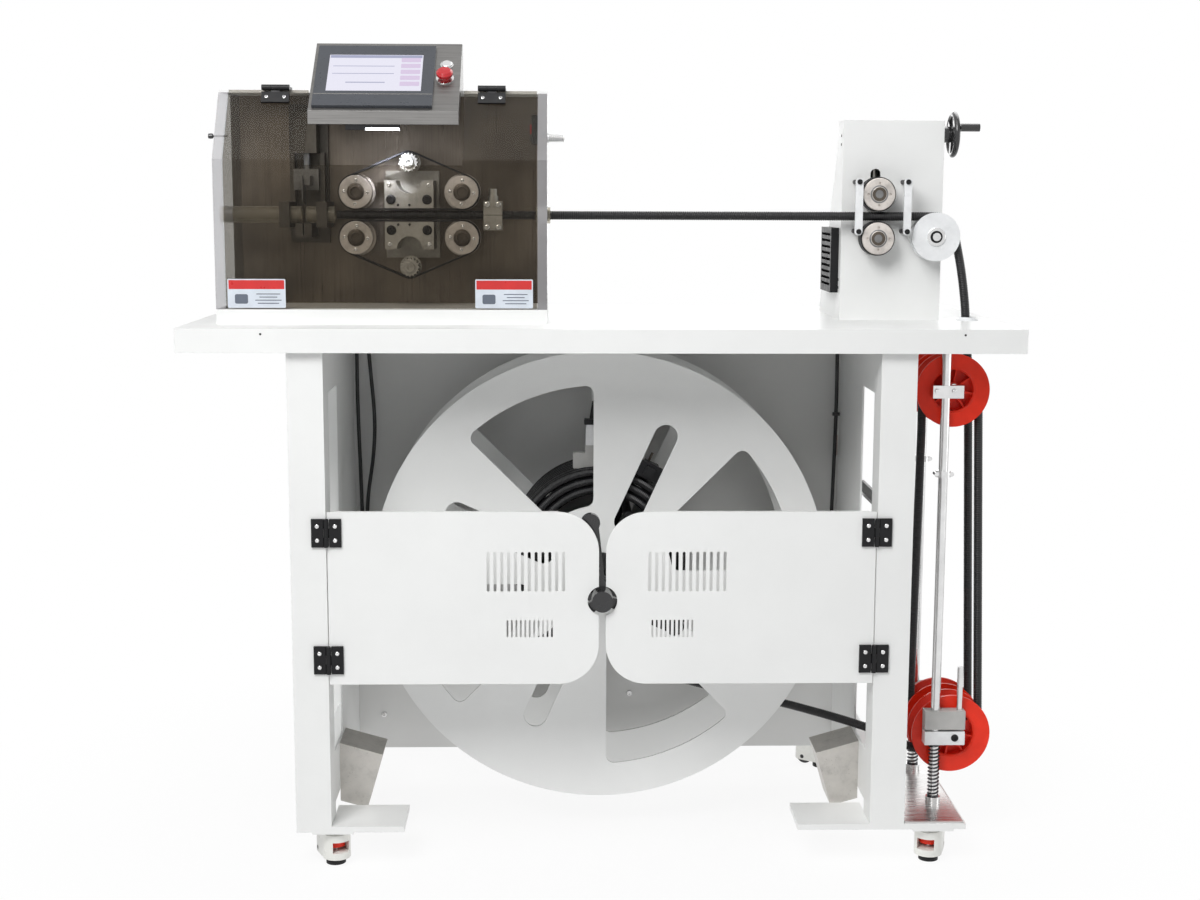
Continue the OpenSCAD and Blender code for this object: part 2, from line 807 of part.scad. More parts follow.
// Hub, front cone, and the rods and blocks that hold the coil
module spool_core() {
    color([0.12, 0.12, 0.13]) translate([0, 0, spool_z])
    difference() {
        union() {
            bar_y(hub_r, flange_front - 6, flange_rear + 6);
            turned_y() polygon([[0, cone_front + gap], [hub_r, cone_front + gap],
                                [hub_r + 22, flange_front - 5], [hub_r + 22, flange_front], [0, flange_front]]);
            bar_y(hub_r + 14, flange_rear, flange_rear + 6);
            for (k = [0:3]) let (a = slot_angle + 90 * k,
                                 inner = coil_reach(a, coil_ri - gap - finger_r),
                                 outer = coil_reach(a, coil_ro) + 17) {
                translate([inner * cos(a), 0, inner * sin(a)])
                    bar_y(finger_r, spool_in_front + 2, spool_in_rear - 2);
                rotate([0, -a, 0]) {
                    block([hub_r - 2, spool_in_front, -7], [inner, spool_in_front + 6, 7]);
                    block([hub_r - 2, spool_in_rear - 6, -7], [inner, spool_in_rear, 7]);
                    block([outer - 14, spool_in_front, -13], [outer + 14, spool_in_front + 36, 13]);
                    block([outer - 14, spool_in_front, -slot_w / 2 - 7],
                          [outer + 14, spool_in_front + 4, slot_w / 2 + 7]);
                    block([outer - 9, flange_front - 5, -9], [outer + 9, spool_in_front + past, 9]);
                }
            }
        }
        bar_y(spindle_r + fit, cone_front - past, flange_rear + 6 + past);
    }
}

// The wound coil, as one ring
module tube_coil() {
    color([0.07, 0.07, 0.07]) translate([0, 0, spool_z + coil_lift])
    turned_y() {
        c = tube_r;
        y0 = spool_in_front + coil_side;
        y1 = spool_in_rear - coil_side;
        polygon([[coil_ri, y0], [coil_ro - c, y0], [coil_ro, y0 + c], [coil_ro, y1 - c],
                 [coil_ro - c, y1], [coil_ri, y1]]);
    }
}

// Three-lobed handle that clamps the spool
module spool_handle() {
    color([0.05, 0.05, 0.05]) translate([0, 0, spool_z])
    difference() {
        union() {
            bar_y(handle_hub_r, handle_front, handle_arm_rear);
            bar_y(handle_hub_r - 4, handle_arm_rear - past, cone_front - gap);
            for (k = [0:2])
                sheet_xz(handle_arm_front, handle_arm_rear) rotate(handle_angle + 120 * k) {
                    polygon([[0, -8], [handle_reach, 3 - lobe_r], [handle_reach, lobe_r - 3], [0, 8]]);
                    translate([handle_reach, 0]) circle(r = lobe_r);
                }
        }
        bar_y(thread_r + fit, front_y + 5 - gap, cone_front);
    }
}

// Head housing: base tray, main plate, casing and top plate
module head_housing() {
    color([0.9, 0.9, 0.89])
    difference() {
        union() {
            block([head_x, head_front, table_h], [head_end, head_rear, base_top]);
            block([head_x, plate_y, base_top - past], [head_end, head_rear, head_top]);
            block([head_x, top_plate_y, chamber_top], [head_end, plate_y + past, head_top]);
        }
        block([head_x + sheet_t, head_front + sheet_t, table_h - past],
              [head_end - sheet_t, head_rear - sheet_t, base_top - sheet_t]);
        block([head_x + sheet_t, plate_y + plate_t, base_top],
              [head_end - sheet_t, head_rear - sheet_t, head_top - sheet_t]);
        for (s = [-1, 1]) {
            for (x = [-1, 1])
                translate([feed_x + x * feed_span / 2, 0, tube_z + s * feed_offset])
                    bar_y(shaft_r + fit, plate_y - past, plate_y + plate_t + past);
            translate([feed_x, 0, tube_z + s * drive_offset])
                bar_y(shaft_r + fit, plate_y - past, plate_y + plate_t + past);
        }
        for (i = [0:9])
            sheet_yz(head_end - sheet_t - past, head_end + past)
                slot_2d([30, tube_z + 60 + 9 * i], [110, tube_z + 60 + 9 * i], 4);
        for (i = [0:9])
            sheet_xz(head_rear - sheet_t - past, head_rear + past)
                slot_2d([feed_x - 60, base_top + 60 + 9 * i], [feed_x + 60, base_top + 60 + 9 * i], 4);
    }
}

// Clear plates that close the ends of the chamber
module head_side_plates() {
    color([0.8, 0.85, 0.88])
    for (x = [head_x, head_end - side_t])
        difference() {
            sheet_yz(x, x + side_t)
                polygon([[head_front, base_top], [plate_y, base_top], [plate_y, chamber_top],
                         [slope_y, chamber_top], [slope_y - 3, chamber_top],
                         [head_front, fold_z]]);
            translate([0, tube_y, tube_z]) bar_x(guide_ro + gap, x - past, x + side_t + past);
        }
}

// Smoky lifting cover with a notch round the console, and its hinge leaves
module cover() {
    t = cover_t;
    up = [slope_back, head_top - fold_z] / norm([slope_back, head_top - fold_z]);
    out = [-up.y, up.x];
    top = [slope_y, head_top];
    color([0.42, 0.4, 0.37])
    difference() {
        sheet_yz(cover_x0, cover_x1)
            polygon([[head_front, base_top + cover_foot_gap], [head_front + t, base_top + cover_foot_gap],
                     [head_front + t, fold_z - 1.4], top - up - t * out, top - up, [head_front, fold_z]]);
        block([notch_x0, head_front - past, fold_z - notch_drop],
              [notch_x1, slope_y + 20, head_top + past]);
    }
    color([0.06, 0.06, 0.07])
    for (x = [cover_hinge_x0, cover_hinge_x1])
        difference() {
            union() {
                translate([0, cover_axis_y, cover_axis_z])
                    bar_x(cover_barrel_r, x - cover_leaf_w / 6 + gap, x + cover_leaf_w / 6 - gap);
                sheet_yz(x - cover_leaf_w / 6 + gap, x + cover_leaf_w / 6 - gap)
                    polygon([[cover_axis_y, cover_axis_z], top - 8 * up + 4 * out, top - 8 * up, top - 2 * up]);
                sheet_yz(x - cover_leaf_w / 2, x + cover_leaf_w / 2)
                    polygon([top - 7 * up, top - 7 * up + 4 * out, top - 28 * up + 4 * out, top - 28 * up]);
            }
            translate([0, cover_axis_y, cover_axis_z])
                bar_x(pin_r + fit, x - cover_leaf_w, x + cover_leaf_w);
        }
}

// Puts children on the console's slope: X across, Y up the slope, Z out of it
module on_slope(x, up)
    translate([x, slope_from.x, slope_from.y]) rotate([slope_angle, 0, 0]) translate([0, up, 0]) children();

// Points moved towards their middle
function shrunk(points, share) =
    let (mid = [for (k = [0, 1]) (max([for (p = points) p[k]]) + min([for (p = points) p[k]])) / 2])
    [for (p = points) mid + (p - mid) * share];

// Sloped steel console with its lamp bar, button rings and bores
module hmi_box() {
    profile = [[console_front, console_low], slope_from, slope_to, [console_back, console_top],
               [console_back, head_top], [top_plate_y, head_top], [console_front + 16, console_low]];
    hollow = [profile[0], slope_from, slope_to, profile[3], [console_back, head_top + 6],
              [top_plate_y - 6, head_top + 6], [console_front + 10, console_low]];
    color([0.78, 0.78, 0.76])
    difference() {
        union() {
            sheet_yz(console_x, console_x + console_w) polygon(profile);
            on_slope(estop_x, estop_up) cylinder(r = estop_r + 1, h = 2);
            on_slope(start_x, start_up) cylinder(r = start_r + 2.5, h = 3);
        }
        sheet_yz(console_x + 2, console_x + console_w - 2) polygon(shrunk(hollow, 0.94));
        on_slope(estop_x, estop_up) translate([0, 0, -20]) cylinder(r = 8 + gap, h = 40);
        on_slope(start_x, start_up) translate([0, 0, -20]) cylinder(r = start_r + gap, h = 40);
    }
    color([0.95, 0.95, 0.98])
    block([console_x + 62, console_front + 2, console_low - 9],
          [console_x + 152, console_front + 14, console_low]);
}

// Touch screen: a dark bezel with a shallow display field
module touch_screen() {
    color([0.16, 0.17, 0.2]) on_slope(screen_x, screen_up)
    difference() {
        cube([screen_w, screen_h, screen_t]);
        translate([20, 38, screen_t - 1.2]) cube([screen_w - 40, screen_h - 62, 2]);
    }
}

// Mushroom head of the emergency stop
module estop_button() {
    color([0.8, 0.07, 0.06]) on_slope(estop_x, estop_up) rotate_extrude()
        polygon([[0, -14], [8, -14], [8, 2 + estop_stroke + 1], [estop_r - 2, 2 + estop_stroke + 1],
                 [estop_r, 10], [estop_r, 14], [estop_r - 4, 18], [0, 19]]);
}

// Round start button
module start_button() {
    color([0.75, 0.77, 0.8]) on_slope(start_x, start_up) rotate_extrude()
        polygon([[0, -10], [start_r, -10], [start_r, 5.2], [start_r - 1, 6], [0, 6]]);
}

// Feed wheel: rim for the belt, two flanges, hub, shaft and four screw holes
module feed_wheel(x, s) {
    f = feed_half_w;
    rim = feed_wheel_r;
    color([0.55, 0.54, 0.5]) translate([feed_x + x * feed_span / 2, 0, tube_z + s * feed_offset])
    difference() {
        union() {
            translate([0, tube_y, 0]) turned_y()
                polygon([[0, -f - feed_flange_t - 4], [11, -f - feed_flange_t - 4],
                         [13, -f - feed_flange_t], [feed_flange_r - 1, -f - feed_flange_t],
                         [feed_flange_r, -f - feed_flange_t + 1], [feed_flange_r, -f], [rim, -f],
                         [rim, f], [feed_flange_r, f], [feed_flange_r, f + feed_flange_t], [0, f + feed_flange_t]]);
            bar_y(feed_hub_r, tube_y + f, plate_y - gap);
            bar_y(shaft_r, tube_y + f, plate_y + plate_t);
        }
        for (k = [0:3])
            rotate([0, 90 * k + 20, 0]) translate([rim * 0.75, tube_y, 0])
                bar_y(2.2, -f - feed_flange_t - past, -f);
        bar_y(5, tube_y - f - feed_flange_t - 4 - past, tube_y - f - feed_flange_t);
    }
}

module feed_wheel_upper_left() feed_wheel(-1, 1);
module feed_wheel_upper_right() feed_wheel(1, 1);
module feed_wheel_lower_left() feed_wheel(-1, -1);
module feed_wheel_lower_right() feed_wheel(1, -1);

// Toothed drive pulley on its shaft
module drive_pulley(s) {
    f = feed_half_w;
    teeth = 16;
    color([0.3, 0.3, 0.31]) translate([feed_x, 0, tube_z + s * drive_offset])
    difference() {
        union() {
            bar_y(drive_r, tube_y - f, tube_y + f);
            bar_y(9, tube_y - f - 5, tube_y - f + past);
            bar_y(drive_r + 2, tube_y + f, tube_y + f + 2);
            bar_y(feed_hub_r, tube_y + f, plate_y - gap);
            bar_y(shaft_r, tube_y + f, plate_y + plate_t);
        }
        for (k = [0:teeth - 1])
            rotate([0, k * 360 / teeth, 0]) translate([drive_r, tube_y, 0]) bar_y(1.2, -f - past, f);
        bar_y(4, tube_y - f - 5 - past, tube_y - f);
    }
}

module drive_pulley_upper() drive_pulley(1);
module drive_pulley_lower() drive_pulley(-1);

// The two flat belts, each round two feed wheels and a drive pulley
module feed_belts() {
    half = feed_span / 2;
    color([0.05, 0.05, 0.05])
    for (s = [0, 1])
        translate([feed_x, 0, tube_z]) mirror([0, 0, s])
        sheet_xz(tube_y - belt_w / 2, tube_y + belt_w / 2)
            difference() {
                band_outline([[-half, feed_offset], [half, feed_offset], [0, drive_offset]],
                             [for (r = [feed_wheel_r, feed_wheel_r, drive_r]) r + gap + belt_t]);
                band_outline([[-half, feed_offset], [half, feed_offset], [0, drive_offset]],
                             [for (r = [feed_wheel_r, feed_wheel_r, drive_r]) r + gap]);
            }
}

// Slide plate, platen blocks behind the belts, and the tube clamp
module feed_brackets() {
    front = tube_y - 10;
    color([0.56, 0.55, 0.52]) translate([0, 0, tube_z]) {
        difference() {
            union() {
                block([feed_x - slide_plate_w / 2, plate_y - slide_plate_t, -slide_plate_h],
                      [feed_x + slide_plate_w / 2, plate_y, slide_plate_h]);
                for (s = [0, 1]) mirror([0, 0, s])
                    sheet_xz(front, plate_y - past)
                        difference() {
                            translate([feed_x - platen_w / 2, platen_low]) square([platen_w, platen_h]);
                            translate([feed_x, platen_low + platen_h]) circle(r = platen_w * 0.26);
                        }
            }
            for (s = [-1, 1]) for (x = [-1, 1]) {
                translate([feed_x + x * 31, 0, s * (platen_low + 12)]) bar_y(6, front - past, front + 5);
                translate([feed_x + x * 34, 0, s * (platen_low + 39)]) bar_y(2.6, front - past, front + 3);
            }
        }
        difference() {
            union() {
                block([clamp_x - clamp_w / 2, tube_y - 14, -26], [clamp_x + clamp_w / 2, tube_y + 14, 24]);
                block([clamp_x - 10, tube_y + 13, -20], [clamp_x + 10, plate_y, 20]);
                translate([clamp_x, tube_y, 24]) cylinder(r = 9, h = 9);
                translate([clamp_x, tube_y, 33]) cylinder(r = 7, h = 12);
            }
            translate([0, tube_y, 0]) bar_x(tube_r + gap, clamp_x - clamp_w, clamp_x + clamp_w);
            block([clamp_x - clamp_w, tube_y - 15, -0.5], [clamp_x + clamp_w, tube_y - 5, 0.5]);
        }
    }
}

// Cutter frame: plate, cylinder, rails, anvil and the guide tube holders
module cutter_frame() {
    color([0.42, 0.41, 0.39]) translate([blade_x, 0, tube_z])
    difference() {
        union() {
            block([-34, cutter_plate_y, -50], [34, plate_y, cylinder_high + 15]);
            block([-20, cutter_rod_y - 22, cylinder_low], [20, cutter_plate_y + past, cylinder_high]);
            for (s = [-1, 1])
                translate([s * (slider_w / 2 + gap + 4) - 4, cutter_rod_y + 3, guide_ro + 6])
                    cube([8, cutter_plate_y + past - cutter_rod_y - 3, cylinder_low - guide_ro - 5]);
            block([-14, tube_y - 16, anvil_top - 24], [14, cutter_plate_y + past, anvil_top]);
            for (s = [-1, 1])
                translate([s * 32 - 9, tube_y - 20, -22]) cube([18, plate_y - tube_y + 20, 44]);
        }
        translate([0, tube_y, 0]) bar_x(guide_ro + gap, -60, 60);
        block([-blade_t / 2 - 0.5, tube_y - 26, anvil_top - 20], [blade_t / 2 + 0.5, tube_y + 26, anvil_top + past]);
        translate([0, cutter_rod_y, cylinder_low - past]) cylinder(r = cutter_rod_r + fit, h = 61);
    }
}

// Blade with its holder, slider and rod
module cutter_blade() {
    half = 22;
    color([0.75, 0.75, 0.74]) translate([blade_x, 0, tube_z]) {
        sheet_yz(-blade_t / 2, blade_t / 2)
            polygon([[tube_y - half, blade_low + 8], [tube_y + half, blade_low],
                     [tube_y + half, blade_high], [tube_y - half, blade_high]]);
        block([-12, tube_y - 12, holder_rise], [12, cutter_rod_y, blade_high]);
        block([-slider_w / 2, cutter_rod_y - 14, holder_rise - 8],
              [slider_w / 2, cutter_plate_y - gap, slider_high]);
        translate([0, cutter_rod_y, slider_high - past]) cylinder(r = cutter_rod_r, h = 65);
    }
}

// Clear guide tubes on both sides of the blade, and the inlet bushing
module guide_tubes() {
    half = guide_gap / 2;
    color([0.85, 0.88, 0.9]) translate([0, tube_y, tube_z])
    difference() {
        union() {
            bar_x(guide_ro, head_x - guide_out, blade_x - half);
            bar_x(guide_ro, blade_x + half, blade_x + 53);
            bar_x(guide_ro, head_end - side_t - 4, head_end + 5);
        }
        bar_x(guide_ri, head_x - guide_out - past, head_end + 5 + past);
    }
}

// Tower casing with its front bores, slide shelves and bearing bosses
module tower_housing() {
    top = tower_top - table_h;
    knee = 0.87 * top;
    profile = [[tower_front, 0], [tower_front, top], [tower_front + tower_top_d, top],
               [tower_front + tower_top_d + 8, knee], [tower_front + tower_foot_d, 0]];
    t = sheet_t;
    inner = [[tower_in, -past], [tower_in, top - t], [tower_front + tower_top_d - t, top - t],
             [tower_front + tower_top_d + 8 - t, knee], [tower_front + tower_foot_d - t, -past]];
    color([0.93, 0.93, 0.92])
    difference() {
        union() {
            translate([0, 0, table_h]) difference() {
                sheet_yz(tower_x, tower_end) polygon(profile);
                sheet_yz(tower_x + t, tower_end - t) polygon(inner);
            }
            for (z = [shelf_low, shelf_high])
                block([roller_x - slide_w / 2 - 6, tower_in - past, z - shelf_t / 2],
                      [roller_x + slide_w / 2 + 6, tower_in + slide_d + 4, z + shelf_t / 2]);
            for (s = [-1, 1])
                translate([roller_x + s * slide_rod_dx, slide_rod_y, shelf_low])
                    cylinder(r = slide_rod_r, h = shelf_high - shelf_low);
            translate([guide_x, 0, guide_z]) intersection() {
                bar_y(14, tower_in - past, tower_in + 12);
                block([-50, tower_in - past, -50], [tower_end - t - guide_x + past, tower_in + 12, 50]);
            }
            translate([0, handwheel_y, handwheel_z]) bar_x(14, tower_end - 18, tower_end);
        }
        sheet_xz(tower_front - past, tower_in + past)
            slot_2d([roller_x, roller_up_z], [roller_x, roller_up_z + 35], 18);
        translate([roller_x, 0, roller_low_z]) bar_y(shaft_r + fit, tower_front - past, tower_in + past);
        translate([guide_x, 0, guide_z]) bar_y(shaft_r + fit, tower_front - past, tower_in + 12 + past);
        translate([0, handwheel_y, handwheel_z]) bar_x(shaft_r + fit, tower_end - 20, tower_end + past);
        translate([roller_x, slide_rod_y, shelf_high - shelf_t]) cylinder(r = 4 + gap, h = 2 * shelf_t);
    }
}

// Louvred vent on the left side of the tower
module vent_grille() {
    y0 = tower_front + 22;
    y1 = y0 + 114;
    z0 = table_h + 47;
    color([0.05, 0.05, 0.05])
    difference() {
        block([tower_x - 14, y0, z0], [tower_x, y1, z0 + 114]);
        for (i = [0:8])
            translate([tower_x - 10, y0 + 8, z0 + 9 + 11 * i]) rotate([0, 35, 0])
                translate([-12, 0, 0]) cube([16, 98, 4]);
    }
}

// Two white bars on posts that keep the tube in the rollers
module roller_guides() {
    front = tube_y - 21;
    ends = [tube_z - 26, tube_z + 59];
    for (s = [-1, 1]) translate([roller_x + s * guide_bar_dx + 6, 0, 0]) {
        color([0.95, 0.95, 0.95])
            sheet_xz(front - 6, front) slot_2d([0, ends[0]], [0, ends[1]], 13);
        color([0.06, 0.06, 0.06])
            for (z = ends) translate([0, 0, z]) {
                bar_y(4, front, tower_front);
                bar_y(4.5, front - 8, front - 6);
            }
    }
}

// A pull roller: rubber sleeve, bolted front flange and shaft
module pull_roller(z, inner_end) {
    r = roller_r;
    color([0.6, 0.58, 0.55]) translate([roller_x, 0, z])
    difference() {
        union() {
            translate([0, tube_y, 0]) turned_y()
                polygon([[0, -19], [12, -19], [14, -17], [r - 3, -17], [r - 2, -16], [r - 2, -12],
                         [r, -12], [r, 14], [r - 2, 16], [0, 16]]);
            bar_y(shaft_r, tube_y, inner_end);
            bar_y(13, tube_y + 15, tower_front - gap);
        }
        for (k = [0:3])
            rotate([0, 90 * k, 0]) translate([19, tube_y, 0]) bar_y(2.2, -18, -13);
        bar_y(7, tube_y - 20, tube_y - 14);
    }
}

module upper_roller() pull_roller(roller_up_z, slide_y + slide_d - 2);
module lower_roller() pull_roller(roller_low_z, tower_in);

// Sliding block that carries the upper roller, with its screw
module roller_slide() {
    color([0.5, 0.5, 0.5])
    difference() {
        union() {
            block([roller_x - slide_w / 2, slide_y, roller_up_z - slide_h / 2],
                  [roller_x + slide_w / 2, slide_y + slide_d, roller_up_z + slide_h / 2]);
            translate([roller_x, slide_rod_y, roller_up_z + slide_h / 2 - past])
                cylinder(r = 4, h = handwheel_z - 18 - roller_lift - roller_up_z - slide_h / 2);
        }
        for (s = [-1, 1])
            translate([roller_x + s * slide_rod_dx, slide_rod_y, shelf_low])
                cylinder(r = slide_rod_r + fit, h = shelf_high - shelf_low);
        translate([roller_x, 0, roller_up_z]) bar_y(shaft_r + fit, slide_y - past, slide_y + slide_d - 2 + gap);
    }
}

// Handwheel: rim, spokes, hub, grip and the shaft with its bevel gear
module handwheel() {
    x = tower_end + gap;
    rim_x = x + 15;
    grip_a = 160;
    color([0.05, 0.05, 0.05]) translate([0, handwheel_y, handwheel_z]) {
        bar_x(14, x, rim_x);
        bar_x(11, rim_x - past, rim_x + 8);
        bar_x(shaft_r, roller_x + 18, x + 2);
        translate([rim_x + 5, 0, 0]) rotate([0, 90, 0]) rotate_extrude()
            translate([handwheel_r - 5, 0]) circle(r = 5);
        for (k = [0:2])
            rotate([120 * k + grip_a, 0, 0]) block([rim_x + 1, 5, -5], [rim_x + 8, handwheel_r - 4, 5]);
        rotate([grip_a, 0, 0]) translate([0, handwheel_r - 7, 0]) {
            bar_x(3, rim_x + 5, rim_x + 12);
            bar_x(7, rim_x + 11, rim_x + 11 + grip_l);
        }
        translate([roller_x + 10, 0, 0]) rotate([0, 90, 0]) cylinder(r1 = 14, r2 = 8, h = 15);
    }
}

// White guide pulley that turns the tube down through the table
module guide_pulley() {
    half = 12;
    color([0.94, 0.95, 0.96]) translate([guide_x, tube_y, guide_z]) {
        turned_y()
            difference() {
                translate([0, -half]) square([guide_pulley_r, 2 * half]);
                translate([guide_line_r, 0]) circle(r = groove_r);
                translate([guide_line_r, -groove_r]) square([guide_pulley_r, 2 * groove_r]);
            }
        bar_y(shaft_r, half - past, tower_in + 12 - tube_y);
        bar_y(13, half - past, tower_front - gap - tube_y);
        bar_y(11, -half - 2, -half + past);
        bar_y(7, -half - 6, -half);
    }
}

// A ribbed red pulley of a given size in a given place
module rope_pulley(x, y, z, r, line_r) {
    half = pulley_w / 2;
    bottom = line_r - groove_r;
    dish = bottom - 5;
    color([0.88, 0.18, 0.08]) translate([x, y, z])
    difference() {
        union() {
            turned_y()
                difference() {
                    union() {
                        translate([dish, -half + 6]) square([bottom - dish + 1, 2 * half - 12]);
                        polygon([[dish, -half + 2], [dish + 3, -half], [r, -half], [r, -half + 5],
                                 [line_r, -9], [line_r, 9], [r, half - 5], [r, half], [dish + 3, half],
                                 [dish, half - 2]]);
                    }
                    translate([line_r, 0]) circle(r = groove_r);
                    translate([line_r, -groove_r]) square([r, 2 * groove_r]);
                }
            bar_y(14, -half, half);
            bar_y(dish + past, -3, 3);
            for (k = [0:7])
                rotate([0, 45 * k + 10, 0]) block([12, -half + 6, -1.5], [dish + past, half - 6, 1.5]);
        }
        bar_y(axle_r + fit, -half - past, half + past);
    }
}

module upper_pulley_front() rope_pulley(upper_x, row_front, upper_z, upper_r, upper_line_r);
module upper_pulley_rear() rope_pulley(upper_x, row_rear, upper_z, upper_r, upper_line_r);
module lower_pulley_front() rope_pulley(lower_x, row_front, lower_z, lower_r, lower_line_r);
module lower_pulley_rear() rope_pulley(lower_x, row_rear, lower_z, lower_r, lower_line_r);

// Axle with the spacers that keep two pulleys in their rows
module pulley_axle(x, z, y0, y1) {
    half = pulley_w / 2 + gap;
    translate([x, 0, z]) {
        bar_y(axle_r, y0, y1);
        bar_y(12, y0, row_front - half);
        bar_y(12, row_front + half, row_rear - half);
        bar_y(12, row_rear + half, y1);
    }
}

// Base plate, guide rods, stop collars, clamps and upper axle
module accumulator_stand() {
    color([0.75, 0.75, 0.74]) {
        block([leg_out + 2, front_y + 2, foot_top], [leg_out + outrigger_reach - 4, front_y + outrigger_d - 2, plate_top]);
        for (y = [rod_front, rod_rear]) {
            translate([rod_x, y, plate_top - past]) cylinder(r = rod_r, h = under_z - plate_top + past);
            translate([rod_x, y, plate_top]) cylinder(r = rod_r + 5, h = spring_foot - plate_top);
            translate([rod_x, y, stop_z - 5.5]) cylinder(r = rod_r + 5.5, h = 11);
            for (s = [-1, 1])
                translate([rod_x + s * (rod_r + 5), y - 6, stop_z]) bar_y(4, -4, 12);
            block([rod_x - 24, y - 11, upper_z - 11], [upper_x + 13, y + 11, upper_z + 11]);
            translate([rod_x - 16, y, upper_z]) bar_y(5, -13, 0);
        }
        pulley_axle(upper_x, upper_z, rod_front + 10, rod_rear - 10);
    }
}

// Buffer springs under the carriage, as sleeves with rounded turns
module buffer_springs() {
    height = carriage_bottom - gap - spring_foot;
    turns = 13;
    pitch = height / turns;
    wire = 1.6;
    mean = rod_r + gap + wire + 0.2;
    color([0.55, 0.55, 0.56])
    for (y = [rod_front, rod_rear])
        translate([rod_x, y, spring_foot]) rotate_extrude() {
            translate([rod_r + gap, 0]) square([0.8, height]);
            for (i = [0:turns - 1])
                translate([mean, (i + 0.5) * pitch]) circle(r = wire);
        }
}

// Carriage: two split blocks, the lower axle and the post
module carriage() {
    mid = lower_z + 13;
    color([0.72, 0.71, 0.69])
    difference() {
        union() {
            for (s = [0, 1]) let (y = s == 0 ? rod_front : rod_rear) {
                block([block_x0, y - block_d / 2, carriage_bottom], [block_x1, y + block_d / 2, carriage_top]);
            }
            pulley_axle(lower_x, lower_z, rod_front + block_d / 2 - past, rod_rear - block_d / 2 + past);
            translate([lower_x + 10, rod_front, carriage_top - past]) cylinder(r = 5, h = 79);
        }
        for (y = [rod_front, rod_rear])
            translate([rod_x, y, carriage_bottom - past])
                cylinder(r = rod_r + fit, h = carriage_top - carriage_bottom + 2 * past);
        block([block_x0 - past, rod_front - block_d / 2 - past, mid - block_slit / 2],
              [block_x1 + past, rod_front + 6, mid + block_slit / 2]);
        block([block_x0 - past, rod_rear - 6, mid - block_slit / 2],
              [block_x1 + past, rod_rear + block_d / 2 + past, mid + block_slit / 2]);
    }
}

// Half turn over the front upper pulley, then the tube from the rear upper pulley through
// the table and over the guide pulley to the head
module tube_run() {
    color([0.05, 0.05, 0.05]) {
        swept(arc_points([upper_x, row_front, upper_z], upper_line_r, 0, 180, 24), tube_r);
        swept([each arc_points([upper_x, row_rear, upper_z], upper_line_r, 0, 6, 1),
               [upper_x + upper_line_r - 4, row_rear - 2, upper_z + 56],
               [table_hole_x - 2, table_hole_y + 1.5, table_h - 20], [table_hole_x - 1, table_hole_y - 1, table_h + 20],
               [guide_x + 43, tube_y, guide_z - 33],
               each arc_points([guide_x, tube_y, guide_z], guide_line_r, 12, 90, 12),
               [blade_x + 56, tube_y, tube_z]], tube_r);
    }
}

// The three strands between the pulleys, and the lead-in from the coil
module tube_strands() {
    low = lower_z + 0.8;
    high = upper_z - 0.8;
    left = [lower_x - lower_line_r, upper_x - upper_line_r];
    lead_a = -110.8;
    end_a = -111;
    lead_r = coil_ro + tube_r + gap;
    color([0.05, 0.05, 0.05]) {
        bar([lower_x + lower_line_r, row_front, low], [upper_x + upper_line_r, row_front, high], tube_r);
        swept([[left[0], row_rear, low], [left[0] - 1, row_rear - 2, lower_z + lower_r + 10],
               [left[1] + 1, row_front + 2, upper_z - upper_r - 10], [left[1], row_front, high]], tube_r);
        bar([lower_x + lower_line_r, row_rear, low], [upper_x + upper_line_r, row_rear, high], tube_r);
        swept([[lead_r * cos(lead_a), -20, spool_z + coil_lift + lead_r * sin(lead_a)],
               [150, -54, 271], [345, -95, 232], [475, -138, 204], [548, -149, 174],
               [lower_x + lower_line_r * cos(end_a) - 2, row_front, lower_z + lower_line_r * sin(end_a) + 0.8]],
              tube_r);
    }
}

// Tube round the lower pulleys
module tube_loops() {
    color([0.05, 0.05, 0.05]) {
        translate([lower_x, row_front, lower_z]) tube_arc(lower_line_r, -111, 0);
        translate([lower_x, row_rear, lower_z]) tube_arc(lower_line_r, -180, 0);
    }
}

// Cables in the bay, down to their glands
module bay_cables() {
    y = back_panel_y - 25;
    r = 3.5;
    gland = [-446, y, 430];
    routes = [
        [[-452, y, under_z], [-452, y, 760], [-448, y, 600], [-446, y, 470], gland],
        [[-436, y, under_z], [-428, y, 830], [-421, y, 730], [-424, y, 660], [-436, y, 570], [-438, y, 480], [-438, y, 430]],
        [[452, y, under_z], [453, y, 760], [450, y, 600], [446, y, 470], [446, y, 430]]
    ];
    color([0.04, 0.04, 0.04]) {
        for (route = routes) swept(route, r);
        for (x = [-442, 446]) {
            block([x - 14, y - 12, 400], [x + 14, y + 12, 430]);
            block([x - 10, y + 11, 405], [x + 10, back_panel_y, 425]);
        }
    }
}

// Feed, cutter and roller motors
module drive_motors() {
    head_back = plate_y + plate_t + gap;
    color([0.2, 0.2, 0.22]) {
        for (s = [-1, 1])
            translate([feed_x, 0, tube_z + s * drive_offset]) {
                block([-30, head_back, -30], [30, head_back + 90, 30]);
                bar_y(22, head_back + 89, head_back + 105);
            }
        translate([blade_x, 0, tube_z + 60]) block([-30, head_back, -30], [30, head_back + 80, 30]);
        translate([roller_x, 0, roller_low_z]) block([-26, tower_in + gap, -26], [26, tower_in + 70, 26]);
    }
}

// Levelling feet: a pad, a stem and a thumb wheel to each caster
module levelling_feet() {
    color([0.7, 0.08, 0.07])
    for (p = caster_places()) translate([p.x, p.y, 0]) {
        cylinder(r = pad_r, h = pad_h - 3);
        cylinder(r1 = pad_r, r2 = stem_r + 2, h = pad_h);
        cylinder(r = stem_r, h = stem_top);
        translate([0, 0, thumb_low]) cylinder(r = thumb_r, h = thumb_high - thumb_low);
    }
}

function caster_places() = [[caster_left_x, -caster_y], [caster_right_x, -caster_y],
                            [-caster_rear_x, caster_y], [caster_rear_x, caster_y]];

